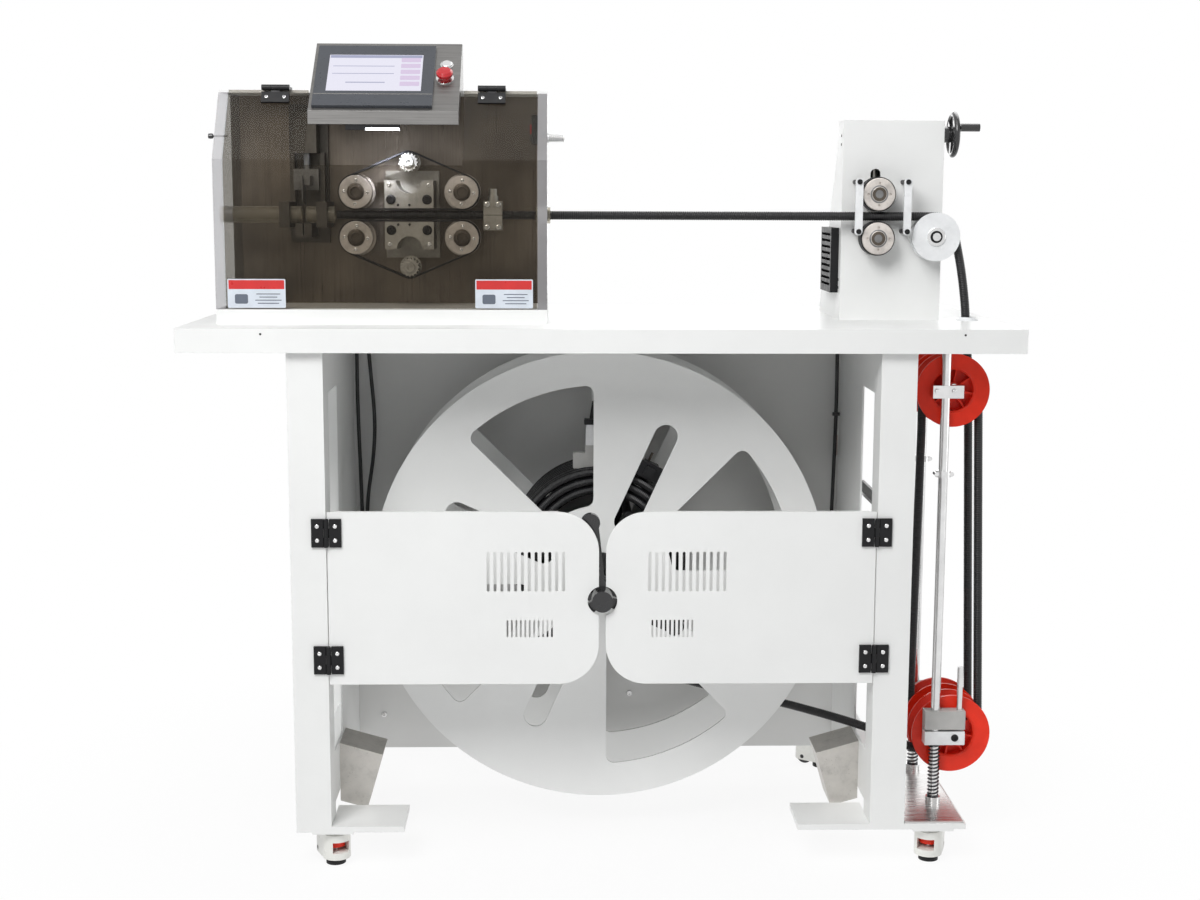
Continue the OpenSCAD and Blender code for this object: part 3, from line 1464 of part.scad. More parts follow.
// Caster housing, drawn at its swivel axis with the wheel towards -X
module caster_housing() {
    cavity_r = thumb_r + 1.5;
    half = wheel_w / 2 + 0.5;
    color([0.9, 0.9, 0.88])
    difference() {
        union() {
            translate([0, 0, caster_low]) linear_extrude(caster_high - caster_low)
                band_outline([[-wheel_trail, 0], [4, 0]], [20, 24]);
            translate([0, 0, caster_high - past]) cylinder(r = 12, h = caster_head - gap - caster_high + past);
        }
        translate([0, 0, thumb_low - foot_travel - 1]) cylinder(r = cavity_r, h = thumb_high + gap - thumb_low + foot_travel + 1);
        block([0, -15, thumb_low - foot_travel - 1], [40, 15, thumb_high + gap]);
        translate([0, 0, caster_low - past]) cylinder(r = stem_r + gap, h = stem_top + gap - caster_low + past);
        translate([-wheel_trail, 0, wheel_z]) {
            bar_y(wheel_r + 1, -half, half);
            block([-wheel_r - 1, -half, -wheel_z], [wheel_r + 1, half, 0]);
            bar_y(wheel_axle_r + fit, -30, 30);
        }
    }
}

// Caster wheel with its axle, drawn in the same place
module caster_wheel() {
    half = wheel_w / 2;
    color([0.35, 0.35, 0.36]) translate([-wheel_trail, 0, wheel_z]) {
        turned_y() polygon([[0, -half], [wheel_r - 2, -half], [wheel_r, -half + 2],
                            [wheel_r, half - 2], [wheel_r - 2, half], [0, half]]);
        bar_y(wheel_axle_r, -19, 19);
    }
}

// Moves a caster piece to one of the four corners
module at_caster(i) translate([caster_places()[i].x, caster_places()[i].y, 0]) 
    rotate([0, 0, caster_turns[i] - 180]) children();

module caster_front_left() at_caster(0) caster_housing();
module caster_front_right() at_caster(1) caster_housing();
module caster_rear_left() at_caster(2) caster_housing();
module caster_rear_right() at_caster(3) caster_housing();
module caster_wheel_front_left() at_caster(0) caster_wheel();
module caster_wheel_front_right() at_caster(1) caster_wheel();
module caster_wheel_rear_left() at_caster(2) caster_wheel();
module caster_wheel_rear_right() at_caster(3) caster_wheel();

tabletop();
left_end_frame();
right_end_frame();
back_panel();
gusset_boxes();
hinge_plates();
head_housing();
head_side_plates();
hmi_box();
touch_screen();
feed_brackets();
feed_belts();
cutter_frame();
guide_tubes();
tower_housing();
vent_grille();
roller_guides();
accumulator_stand();
buffer_springs();
spool_spindle();
tube_run();
tube_strands();
bay_cables();
drive_motors();
levelling_feet();
left_door();
right_door();
spool_flanges();
spool_core();
tube_coil();
spool_handle();
cover();
estop_button();
start_button();
feed_wheel_upper_left();
feed_wheel_upper_right();
feed_wheel_lower_left();
feed_wheel_lower_right();
drive_pulley_upper();
drive_pulley_lower();
cutter_blade();
handwheel();
roller_slide();
upper_roller();
lower_roller();
guide_pulley();
upper_pulley_front();
upper_pulley_rear();
lower_pulley_front();
lower_pulley_rear();
carriage();
tube_loops();
caster_front_left();
caster_front_right();
caster_rear_left();
caster_rear_right();
caster_wheel_front_left();
caster_wheel_front_right();
caster_wheel_rear_left();
caster_wheel_rear_right();
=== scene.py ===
"""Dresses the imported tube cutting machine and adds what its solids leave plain.

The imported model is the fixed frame. This script gives every node its finish, and adds the ribbed
tube, the springs, the turned feed wheels, the belts, the fasteners, the stickers, the screen and
the cables. Lengths in the classes are in millimetres, as in the part's source, apart from those of
the floor and the lamps, and meshes are built in metres.
"""

import json
import logging
import math
from collections.abc import Callable, Iterator, Sequence
from dataclasses import dataclass
from enum import Enum
from functools import cache

import bmesh
import bpy
import numpy as np
from mathutils import Matrix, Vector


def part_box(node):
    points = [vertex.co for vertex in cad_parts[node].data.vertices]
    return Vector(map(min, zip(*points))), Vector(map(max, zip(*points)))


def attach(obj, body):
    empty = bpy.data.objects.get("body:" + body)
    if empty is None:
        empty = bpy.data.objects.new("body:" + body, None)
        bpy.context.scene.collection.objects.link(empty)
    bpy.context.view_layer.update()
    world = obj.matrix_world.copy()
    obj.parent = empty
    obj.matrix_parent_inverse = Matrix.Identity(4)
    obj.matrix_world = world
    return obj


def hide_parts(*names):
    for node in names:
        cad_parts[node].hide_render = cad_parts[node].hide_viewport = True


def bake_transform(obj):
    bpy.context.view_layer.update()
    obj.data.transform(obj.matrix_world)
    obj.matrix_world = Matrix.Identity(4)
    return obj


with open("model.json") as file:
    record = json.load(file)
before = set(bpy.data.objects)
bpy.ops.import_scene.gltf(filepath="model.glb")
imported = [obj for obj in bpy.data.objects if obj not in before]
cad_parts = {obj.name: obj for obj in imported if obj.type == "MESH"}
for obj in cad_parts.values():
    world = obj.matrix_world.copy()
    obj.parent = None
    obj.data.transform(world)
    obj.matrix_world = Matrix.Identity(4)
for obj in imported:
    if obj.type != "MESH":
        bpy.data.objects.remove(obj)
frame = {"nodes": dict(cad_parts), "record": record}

Array = np.ndarray
Vec = tuple[float, float, float]
Colour = tuple[float, float, float]
Spot = tuple[float, float]
Box = tuple[float, float, float, float]
Test = Callable[[Array], Array]
Rings = Sequence[tuple[float | Array, float]]
Socket = bpy.types.NodeSocket

MM = 0.001
FRONT: Vec = (0.0, -1.0, 0.0)
WHITE: Colour = (1.0, 1.0, 1.0)
BLACK: Colour = (0.0, 0.0, 0.0)
LOG = logging.getLogger("tube_cutter")


class Body(str, Enum):
    """The bodies that new pieces ride on."""

    FRAME = "frame"
    COVER = "cover"
    CARRIAGE = "carriage"
    SPOOL = "spool"
    LEFT_DOOR = "left_door"
    RIGHT_DOOR = "right_door"


class Recess(Enum):
    """The drive in the head of a screw."""

    HEX = "hex"
    CROSS = "cross"
    PLAIN = "plain"


class Tree:
    """The nodes of a material or of the world, with short calls for what they share."""

    def __init__(self, tree: bpy.types.NodeTree) -> None:
        """Empties the tree.

        Args:
            tree: The tree to fill.
        """
        self.tree = tree
        tree.nodes.clear()

    def add(self, kind: str, **settings: object) -> bpy.types.Node:
        """Adds one node.

        Args:
            kind: The node's type name.
            settings: Attributes to set on it.

        Returns:
            The node.
        """
        node = self.tree.nodes.new(kind)
        for key, value in settings.items():
            setattr(node, key, value)
        return node

    def link(self, source: Socket, target: Socket) -> None:
        """Joins two sockets."""
        self.tree.links.new(source, target)

    def ranged(
        self,
        value: Socket,
        low: float,
        high: float,
        from_low: float = 0.0,
        from_high: float = 1.0,
        **settings: object,
    ) -> Socket:
        """Moves a value from one range to another, and keeps it inside.

        Args:
            value: The value to move.
            low: What it becomes at from_low.
            high: What it becomes at from_high.
            from_low: The value's own low end.
            from_high: The value's own high end.
            settings: Attributes of the node.

        Returns:
            The new value.
        """
        node = self.add("ShaderNodeMapRange", **settings)
        for key, number in zip((1, 2, 3, 4), (from_low, from_high, low, high)):
            node.inputs[key].default_value = number
        self.link(value, node.inputs[0])
        return node.outputs[0]

    def mix_to(self, target: Socket, share: Socket, first: Socket, second: Socket) -> None:
        """Sends a mix of two shaders to an output.

        Args:
            target: The output.
            share: How much of the second shows.
            first: The first shader.
            second: The second shader.
        """
        mix = self.add("ShaderNodeMixShader")
        for socket, source in zip(mix.inputs, (share, first, second)):
            self.link(source, socket)
        self.link(mix.outputs[0], target)

    def seen(self) -> Socket:
        """Tells what looks at the surface.

        Returns:
            One for the camera, a reflection or a view through a clear sheet, else zero.
        """
        rays = self.add("ShaderNodeLightPath")
        total = rays.outputs["Is Camera Ray"]
        for key in ("Is Glossy Ray", "Is Transmission Ray"):
            node = self.add("ShaderNodeMath", operation="MAXIMUM")
            self.link(total, node.inputs[0])
            self.link(rays.outputs[key], node.inputs[1])
            total = node.outputs[0]
        return total


class Graph(Tree):
    """The nodes of one material round a principled shader."""

    def __init__(self, name: str) -> None:
        """Makes the material.

        Args:
            name: The name of the material.
        """
        self.material = bpy.data.materials.new(name)
        self.material.use_nodes = True
        super().__init__(self.material.node_tree)
        self.out = self.add("ShaderNodeOutputMaterial")
        self.shader = self.add("ShaderNodeBsdfPrincipled")
        self.link(self.shader.outputs[0], self.out.inputs[0])
        self.coords = self.add("ShaderNodeTexCoord").outputs["Object"]

    def set(self, **values: object) -> None:
        """Sets sockets of the principled shader, an underscore standing for a space."""
        for key, value in values.items():
            self.shader.inputs[key.replace("_", " ")].default_value = value

    def stretched(self, scale: Vec) -> Socket:
        """Scales object coordinates along each axis, for grain that runs one way.

        Args:
            scale: The scale along each axis.

        Returns:
            The scaled coordinates.
        """
        node = self.add("ShaderNodeMapping")
        node.inputs["Scale"].default_value = scale
        self.link(self.coords, node.inputs["Vector"])
        return node.outputs[0]

    def noise(
        self,
        scale: float,
        detail: float = 2.0,
        roughness: float = 0.5,
        vector: Socket | None = None,
    ) -> Socket:
        """Adds fractal noise.

        Args:
            scale: Features to a metre.
            detail: How many finer layers it holds.
            roughness: How strong the finer layers are.
            vector: Where it is read, or None for object coordinates.

        Returns:
            The noise's value socket.
        """
        node = self.add("ShaderNodeTexNoise")
        node.inputs["Scale"].default_value = scale
        node.inputs["Detail"].default_value = detail
        node.inputs["Roughness"].default_value = roughness
        self.link(self.coords if vector is None else vector, node.inputs["Vector"])
        return node.outputs["Fac"]

    def cells(self, scale: float) -> Socket:
        """Measures how far the nearest of many scattered points is.

        Args:
            scale: How many points there are to a metre.

        Returns:
            The distance.
        """
        node = self.add("ShaderNodeTexVoronoi")
        node.inputs["Scale"].default_value = scale
        self.link(self.coords, node.inputs["Vector"])
        return node.outputs["Distance"]

    def ramp(self, value: Socket, *stops: tuple[float, Colour]) -> Socket:
        """Turns a value into colours.

        Args:
            value: The value, from 0 to 1.
            stops: Places along the ramp with their colours.

        Returns:
            The colour socket.
        """
        node = self.add("ShaderNodeValToRGB")
        elements = node.color_ramp.elements
        while len(elements) < len(stops):
            elements.new(0.5)
        for element, (place, colour) in zip(elements, stops):
            element.position = place
            element.color = (*colour, 1.0)
        self.link(value, node.inputs[0])
        return node.outputs[0]

    def tone(self, value: Socket, *stops: tuple[float, Colour]) -> None:
        """Colours the surface by a value."""
        self.link(self.ramp(value, *stops), self.shader.inputs["Base Color"])

    def gloss(self, value: Socket, middle: float, less: float, more: float) -> None:
        """Lets a value move the roughness from less below the middle to more above it."""
        rough = self.ranged(value, middle - less, middle + more, 0.3, 0.7)
        self.link(rough, self.shader.inputs["Roughness"])

    def blended(self, first: Socket, second: Socket, kind: str = "MULTIPLY") -> Socket:
        """Blends two colours in full.

        Args:
            first: The first colour.
            second: The second colour.
            kind: The way to blend them, by default their product.

        Returns:
            The blended colour.
        """
        node = self.add("ShaderNodeMix", data_type="RGBA", blend_type=kind)
        node.inputs[0].default_value = 1.0
        self.link(first, node.inputs[6])
        self.link(second, node.inputs[7])
        return node.outputs[2]

    def bump(self, height: Socket, depth: float, strength: float, edge: float = 0.0) -> None:
        """Roughens the surface.

        Args:
            height: The height's value.
            depth: The height of a value of 1, in metres.
            strength: The share of it that shows.
            edge: The radius to which sharp edges look rounded, in millimetres.
        """
        node = self.add("ShaderNodeBump")
        node.inputs["Strength"].default_value = strength
        node.inputs["Distance"].default_value = depth
        self.link(height, node.inputs["Height"])
        if edge > 0:
            corner = self.add("ShaderNodeBevel", samples=6)
            corner.inputs["Radius"].default_value = edge * MM
            self.link(corner.outputs[0], node.inputs["Normal"])
        self.link(node.outputs[0], self.shader.inputs["Normal"])


@dataclass(frozen=True)
class Finish:
    """What every finish has: a name, a colour and a gloss."""

    name: str
    colour: Colour
    roughness: float = 0.4
    edge: float = 0.5

    def tints(self, *shares: float) -> list[Colour]:
        """The finish's colour at several brightnesses."""
        return [tuple(min(c * s, 1.0) for c in self.colour) for s in shares]

    def build(self, graph: Graph) -> None:
        """Fills the material's node tree.

        Args:
            graph: The nodes of its material.
        """
        raise NotImplementedError


@dataclass(frozen=True)
class PowderCoat(Finish):
    """Powder-coated sheet: an even colour with fine orange peel and faint handling marks."""

    peel: float = 0.12

    def build(self, graph: Graph) -> None:
        """Slow tone drift, a finer gloss change and a peel of about 1.5 mm.

        Args:
            graph: The nodes of its material.
        """
        low, high = self.tints(0.965, 1.0)
        graph.tone(graph.noise(5.0, 4.0, 0.6), (0.3, low), (0.62, high))
        graph.gloss(graph.noise(38.0, 5.0, 0.65), self.roughness, 0.07, 0.1)
        graph.set(Specular_IOR_Level=0.42)
        graph.bump(graph.noise(620.0, 2.0), 0.00025, self.peel, self.edge)


@dataclass(frozen=True)
class Brushed(Finish):
    """Brushed metal sheet with its grain along one axis."""

    grain: Vec = (6.0, 420.0, 420.0)
    blotch: float = 0.12

    def build(self, graph: Graph) -> None:
        """Long thin streaks in tone, gloss and height, over slow blotches.

        Args:
            graph: The nodes of its material.
        """
        streaks = graph.noise(1.0, 3.0, 0.7, graph.stretched(self.grain))
        dark, mid, light = self.tints(0.8, 1.0, 1.15)
        fine = graph.ramp(streaks, (0.3, dark), (0.52, mid), (0.75, light))
        slow = graph.noise(7.0, 3.0, 0.55)
        weak = 1.0 - self.blotch
        drift = graph.ramp(slow, (0.32, (weak, weak, weak)), (0.66, WHITE))
        graph.link(graph.blended(fine, drift), graph.shader.inputs["Base Color"])
        graph.gloss(streaks, self.roughness, 0.08, 0.14)
        graph.set(Metallic=1.0)
        graph.bump(streaks, 0.00006, 0.35, self.edge)


@dataclass(frozen=True)
class Galvanised(Finish):
    """Dull mill-finished sheet with small dark specks and smears."""

    def build(self, graph: Graph) -> None:
        """Cloudy tone, scattered specks and uneven gloss.

        Args:
            graph: The nodes of its material.
        """
        dark, mid, light = self.tints(0.72, 1.0, 1.14)
        clouds = graph.noise(26.0, 6.0, 0.68)
        base = graph.ramp(clouds, (0.28, dark), (0.5, mid), (0.72, light))
        speck = graph.ramp(graph.cells(210.0), (0.05, (0.35, 0.33, 0.3)), (0.16, WHITE))
        keep = graph.ramp(graph.noise(60.0, 1.0), (0.52, WHITE), (0.6, BLACK))
        sparse = graph.blended(speck, keep, "LIGHTEN")
        graph.link(graph.blended(base, sparse), graph.shader.inputs["Base Color"])
        graph.gloss(clouds, self.roughness, 0.1, 0.16)
        graph.set(Metallic=0.85)
        graph.bump(graph.noise(300.0, 3.0), 0.0001, 0.25, self.edge)


@dataclass(frozen=True)
class Polished(Finish):
    """Ground or plated steel with faint machining lines."""

    grain: Vec = (500.0, 500.0, 60.0)

    def build(self, graph: Graph) -> None:
        """Faint lines in gloss, and slow changes of tone.

        Args:
            graph: The nodes of its material.
        """
        low, high = self.tints(0.86, 1.06)
        graph.tone(graph.noise(18.0, 4.0, 0.6), (0.3, low), (0.68, high))
        lines = graph.noise(1.0, 2.0, 0.6, graph.stretched(self.grain))
        graph.gloss(lines, self.roughness, 0.05, 0.09)
        graph.set(Metallic=1.0)
        graph.bump(lines, 0.00003, 0.2, self.edge)


@dataclass(frozen=True)
class Machined(Finish):
    """Milled or cast aluminium with tool marks and small stains."""

    def build(self, graph: Graph) -> None:
        """Fine mill marks over stains, both in tone and in gloss.

        Args:
            graph: The nodes of its material.
        """
        dark, mid, light = self.tints(0.7, 1.0, 1.18)
        graph.tone(graph.noise(46.0, 5.0, 0.66), (0.3, dark), (0.5, mid), (0.7, light))
        marks = graph.noise(1.0, 2.0, 0.6, graph.stretched((900.0, 900.0, 160.0)))
        graph.gloss(marks, self.roughness, 0.1, 0.14)
        graph.set(Metallic=0.9)
        graph.bump(marks, 0.00006, 0.3, self.edge)


@dataclass(frozen=True)
class Moulded(Finish):
    """Moulded plastic or enamel, with a shallow skin texture and a gloss of its own."""

    skin: float = 900.0
    coat: float = 0.0
    sheen: float = 0.5
    relief: float = 0.15

    def build(self, graph: Graph) -> None:
        """Slow tone changes, rubbed patches in the gloss and a fine skin.

        Args:
            graph: The nodes of its material.
        """
        low, high = self.tints(0.9, 1.05)
        graph.tone(graph.noise(30.0, 4.0, 0.6), (0.3, low), (0.7, high))
        graph.gloss(graph.noise(70.0, 4.0, 0.65), self.roughness, 0.06, 0.1)
        graph.set(Specular_IOR_Level=self.sheen, Coat_Weight=self.coat, Coat_Roughness=0.08)
        graph.bump(graph.noise(self.skin, 2.0), 0.00012, self.relief, self.edge)


@dataclass(frozen=True)
class Ribbed(Finish):
    """Rubber tube with rings, read along the tube from the piece's own map."""

    pitch: float = 3.2

    def build(self, graph: Graph) -> None:
        """Rings by a sine along the tube's length, and slow scuffs in tone and gloss.

        Args:
            graph: The nodes of its material.
        """
        low, mid, high = self.tints(0.7, 1.0, 1.6)
        scuffs = graph.noise(60.0, 4.0, 0.66)
        graph.tone(scuffs, (0.3, low), (0.55, mid), (0.78, high))
        graph.gloss(scuffs, self.roughness, 0.08, 0.12)
        graph.set(Specular_IOR_Level=0.5)
        along = graph.add("ShaderNodeUVMap", uv_map="along")
        split = graph.add("ShaderNodeSeparateXYZ")
        graph.link(along.outputs[0], split.inputs[0])
        turn = graph.add("ShaderNodeMath", operation="MULTIPLY")
        turn.inputs[1].default_value = 2 * math.pi / (self.pitch * MM)
        graph.link(split.outputs[0], turn.inputs[0])
        wave = graph.add("ShaderNodeMath", operation="SINE")
        graph.link(turn.outputs[0], wave.inputs[0])
        graph.bump(wave.outputs[0], 0.0005, 0.6)


@dataclass(frozen=True)
class Acrylic(Finish):
    """Clear or smoked sheet that lets the light through."""

    veil: float = 0.1
    haze: float = 0.06
    tint: Colour = (0.96, 0.97, 0.98)
    rim: float = 0.3

    def build(self, graph: Graph) -> None:
        """A glossy skin takes a share of the light, more of it edge on, and the rest goes on tinted.

        Args:
            graph: The nodes of its material.
        """
        low, high = self.tints(0.88, 1.1)
        graph.tone(graph.noise(6.0, 4.0, 0.6), (0.3, low), (0.7, high))
        smears = graph.noise(14.0, 5.0, 0.65)
        gloss = graph.ranged(smears, self.roughness, self.roughness + self.haze, 0.35, 0.7)
        graph.link(gloss, graph.shader.inputs["Roughness"])
        graph.set(Specular_IOR_Level=0.6)
        clear = graph.add("ShaderNodeBsdfTransparent")
        clear.inputs["Color"].default_value = (*self.tint, 1.0)
        facing = graph.add("ShaderNodeLayerWeight")
        facing.inputs["Blend"].default_value = 0.35
        share = graph.ranged(facing.outputs["Facing"], self.veil, self.rim, 0.3, 1.0)
        graph.mix_to(graph.out.inputs[0], share, clear.outputs[0], graph.shader.outputs[0])


@dataclass(frozen=True)
class Glow(Finish):
    """A lit surface, such as a lamp or a display."""

    power: float = 1.0

    def build(self, graph: Graph) -> None:
        """Even light with a faint grid of dots under a glossy face.

        Args:
            graph: The nodes of its material.
        """
        dots = graph.noise(900.0, 1.0)
        low, high = self.tints(0.96, 1.0)
        graph.link(graph.ramp(dots, (0.4, low), (0.6, high)), graph.shader.inputs["Emission Color"])
        graph.set(
            Base_Color=(*self.tints(0.3)[0], 1.0),
            Emission_Strength=self.power,
            Roughness=self.roughness,
        )


WHITE_PAINT = PowderCoat("white_paint", (0.86, 0.865, 0.855), 0.36)
# The bay's paint is a darker copy of the white paint: painted shade for the inside of the spool bay.
SHADED_BAY_PAINT = PowderCoat("bay_paint", (0.72, 0.72, 0.71), 0.42)
SKIRT_PAINT = PowderCoat("caster_paint", (0.82, 0.82, 0.78), 0.3)
GALVANISED = Galvanised("galvanised", (0.56, 0.54, 0.51), 0.42)
BLACK_STEEL = Moulded("black_steel", (0.008, 0.008, 0.009), 0.42, 0.4, 600.0, 0.0, 0.25)
CLEAR = Acrylic("clear_acrylic", (0.8, 0.82, 0.84), 0.06, 0.3, 0.12, 0.06, (0.95, 0.96, 0.97), 0.5)
CLEAR_EDGE = Acrylic("clear_edge", (0.5, 0.49, 0.5), 0.1, 0.3, 0.45, 0.06, (0.8, 0.8, 0.81), 0.65)
CLEAR_TUBE = Acrylic("clear_tube", (0.62, 0.58, 0.5), 0.05, 0.0, 0.2, 0.04, (0.85, 0.83, 0.78), 0.95)
SMOKED = Acrylic("smoked_acrylic", (0.05, 0.043, 0.035), 0.05, 0.3, 0.1, 0.1, (0.79, 0.77, 0.735), 0.3)
CONSOLE = Brushed("console_steel", (0.2, 0.196, 0.19), 0.4, 0.6, (8.0, 500.0, 500.0), 0.1)
PLATE_STEEL = Brushed("plate_steel", (0.22, 0.19, 0.16), 0.34, 0.5, (300.0, 300.0, 5.0), 0.5)
BRIGHT_STEEL = Polished("bright_steel", (0.74, 0.74, 0.74), 0.16, 0.3)
BASE_STEEL = Brushed("bright_steel_sheet", (0.68, 0.67, 0.66), 0.26, 0.4, (8.0, 400.0, 400.0), 0.25)
BEZEL = Moulded("screen_glass", (0.035, 0.04, 0.05), 0.3, 0.5, 700.0, 0.3)
ALUMINIUM = Machined("aluminium_parts", (0.42, 0.41, 0.38), 0.4, 0.4)
DARK_ALUMINIUM = Machined("dark_aluminium", (0.2, 0.2, 0.2), 0.42, 0.3)
ROLLER_METAL = Machined("roller_metal", (0.6, 0.56, 0.525), 0.38, 0.4)
CUTTER_STEEL = Machined("cutter_steel", (0.1, 0.092, 0.082), 0.4, 0.3)
HUB_METAL = Machined("hub_metal", (0.1, 0.085, 0.07), 0.45, 0.3)
CLAMP_GREY = Moulded("clamp_grey", (0.46, 0.455, 0.44), 0.5, 0.4, 500.0)
RUBBER = Moulded("black_rubber", (0.012, 0.012, 0.013), 0.55, 0.3, 700.0, 0.0, 0.3, 0.4)
TUBE = Ribbed("tube_rubber", (0.007, 0.007, 0.008), 0.36)
BLACK_PLASTIC = Moulded("black_plastic", (0.02, 0.02, 0.021), 0.42, 0.3, 800.0)
GLOSS_BLACK = Moulded("gloss_black", (0.012, 0.012, 0.013), 0.22, 0.5, 500.0, 0.4)
WHITE_PLASTIC = Moulded("white_plastic", (0.84, 0.85, 0.86), 0.3, 0.5, 600.0, 0.2)
RED_PLASTIC = Moulded("red_plastic", (0.86, 0.032, 0.01), 0.34, 0.4, 500.0, 0.0, 0.3)
ESTOP_RED = Moulded("stop_button_red", (0.46, 0.006, 0.012), 0.26, 0.5, 500.0, 0.3)
TAG_PINK = Moulded("cable_tag", (0.6, 0.48, 0.46), 0.5, 0.3, 500.0)
SPRING_STEEL = Polished("spring_steel", (0.07, 0.07, 0.075), 0.26, 0.0)
MOTOR_PAINT = Moulded("motor_paint", (0.02, 0.02, 0.022), 0.5, 0.6, 500.0)
LAMP = Glow("lamp", (0.9, 0.94, 1.0), 0.3, 0.0, 7.0)
DISPLAY = Glow("display", (0.80, 0.79, 0.90), 0.2, 0.0, 0.6)
DISPLAY_LILAC = Glow("display_lilac", (0.72, 0.6, 0.8), 0.2, 0.0, 0.55)
DISPLAY_BLUE = Glow("display_blue", (0.42, 0.44, 0.62), 0.2, 0.0, 0.45)
STICKER_RED = Moulded("sticker_red", (0.6, 0.02, 0.02), 0.3, 0.0, 400.0, 0.3)
STICKER_PALE = Moulded("sticker_pale", (0.66, 0.71, 0.78), 0.32, 0.0, 400.0, 0.3)
STICKER_INK = Moulded("sticker_ink", (0.12, 0.14, 0.18), 0.4, 0.0, 400.0)

SLOT_FINISHES = (
    WHITE_PAINT, SHADED_BAY_PAINT, GALVANISED, BLACK_STEEL, CLEAR, SMOKED, CONSOLE, BRIGHT_STEEL, BEZEL,
    ALUMINIUM, DARK_ALUMINIUM, RUBBER, BLACK_PLASTIC, GLOSS_BLACK, WHITE_PLASTIC, RED_PLASTIC,
    SPRING_STEEL, SKIRT_PAINT, MOTOR_PAINT,
)
NODE_FINISH = {finish.name: finish for finish in SLOT_FINISHES}


@cache
def material_of(finish: Finish) -> bpy.types.Material:
    """Makes a finish's material on the first call.

    Args:
        finish: The finish.

    Returns:
        Its material.
    """
    graph = Graph(finish.name)
    finish.build(graph)
    return graph.material


@dataclass
class Shape:
    """Points and faces that are still to become a mesh, in millimetres."""

    points: Array
    faces: list[tuple[int, ...]]
    along: Array | None = None

    @staticmethod
    def joined(shapes: Sequence["Shape"]) -> "Shape":
        """Joins shapes.

        Args:
            shapes: The shapes, which keep their order.

        Returns:
            All of them as one.
        """
        start, faces = 0, []
        for shape in shapes:
            faces += [tuple(i + start for i in f) for f in shape.faces]
            start += len(shape.points)
        points = np.vstack([s.points for s in shapes])
        along = None
        if all(s.along is not None for s in shapes):
            along = np.concatenate([s.along for s in shapes])
        return Shape(points, faces, along)

    def copies(self, places: Array, turns: Array) -> "Shape":
        """The shape once at each place.

        Args:
            places: One row of x, y and z for each copy.
            turns: One 3 by 3 matrix for each copy, whose columns are the shape's own axes.

        Returns:
            All the copies as one shape.
        """
        count = len(self.points)
        points = np.einsum("nij,kj->nki", turns, self.points) + places[:, None, :]
        faces = [
            tuple(i + n * count for i in f) for n in range(len(places)) for f in self.faces
        ]
        return Shape(points.reshape(-1, 3), faces)


def grid_shape(
    points: Array,
    wrap_columns: bool = False,
    caps: bool = False,
    along: Array | None = None,
) -> Shape:
    """A surface over a grid: cell (i, j) joins rows i and i + 1 and columns j and j + 1.

    Args:
        points: Rows by columns by three.
        wrap_columns: Whether the last column joins the first.
        caps: Whether the first and last rows are closed by one face each.
        along: The length along the rows for each row, in millimetres.

    Returns:
        The shape.
    """
    rows, columns = points.shape[:2]
    i = np.arange(rows - 1)[:, None]
    j = np.arange(columns if wrap_columns else columns - 1)[None, :]
    j1 = (j + 1) % columns
    cells = [i * columns + j, i * columns + j1, (i + 1) * columns + j1, (i + 1) * columns + j]
    faces = [tuple(f) for f in np.stack(cells, -1).reshape(-1, 4).tolist()]
    if caps:
        faces.append(tuple(range(columns - 1, -1, -1)))
        faces.append(tuple(range((rows - 1) * columns, rows * columns)))
    spread = None if along is None else np.repeat(along, columns)
    return Shape(points.reshape(-1, 3), faces, spread)


def round_angles(count: int) -> Array:
    """Angles at even steps once round a circle."""
    return np.linspace(0.0, 2 * math.pi, count, endpoint=False)


def lengths_along(path: Array) -> Array:
    """The length of a path up to each of its points."""
    return np.concatenate([[0.0], np.cumsum(np.linalg.norm(np.diff(path, axis=0), axis=1))])


def axes_towards(ways: Array) -> Array:
    """Finds matrices whose third column points each given way.

    Args:
        ways: One direction to a row.

    Returns:
        One 3 by 3 matrix for each direction.
    """
    ways = ways / np.linalg.norm(ways, axis=1, keepdims=True)
    side = np.where(np.abs(ways[:, 2:3]) < 0.9, [[0.0, 0.0, 1.0]], [[1.0, 0.0, 0.0]])
    first = np.cross(side, ways)
    first /= np.linalg.norm(first, axis=1, keepdims=True)
    return np.stack([first, np.cross(ways, first), ways], axis=2)


def path_frames(path: Array) -> tuple[Array, Array]:
    """Two directions across a path, carried along it with no twist.

    Each point's first direction is the one before it, less its part along the new tangent.

    Args:
        path: Points in order.

    Returns:
        The first and the second direction at each point.
    """
    tangents = np.gradient(path, axis=0)
    tangents /= np.linalg.norm(tangents, axis=1, keepdims=True)
    start = np.array([0.0, 1.0, 0.0]) if abs(tangents[0, 1]) < 0.9 else np.array([1.0, 0.0, 0.0])
    firsts = np.empty_like(path)
    for n, tangent in enumerate(tangents):
        start = start - tangent * (start @ tangent)
        start = start / np.linalg.norm(start)
        firsts[n] = start
    return firsts, np.cross(tangents, firsts)


def resampled(path: Array, step: float) -> Array:
    """Puts the points of a path at even steps of its length.

    Args:
        path: Points in order.
        step: The step, about which the even one is rounded.

    Returns:
        The new points.
    """
    lengths = lengths_along(path)
    count = max(int(round(lengths[-1] / step)), 2) + 1
    at = np.linspace(0.0, lengths[-1], count)
    return np.stack([np.interp(at, lengths, path[:, k]) for k in range(3)], axis=1)


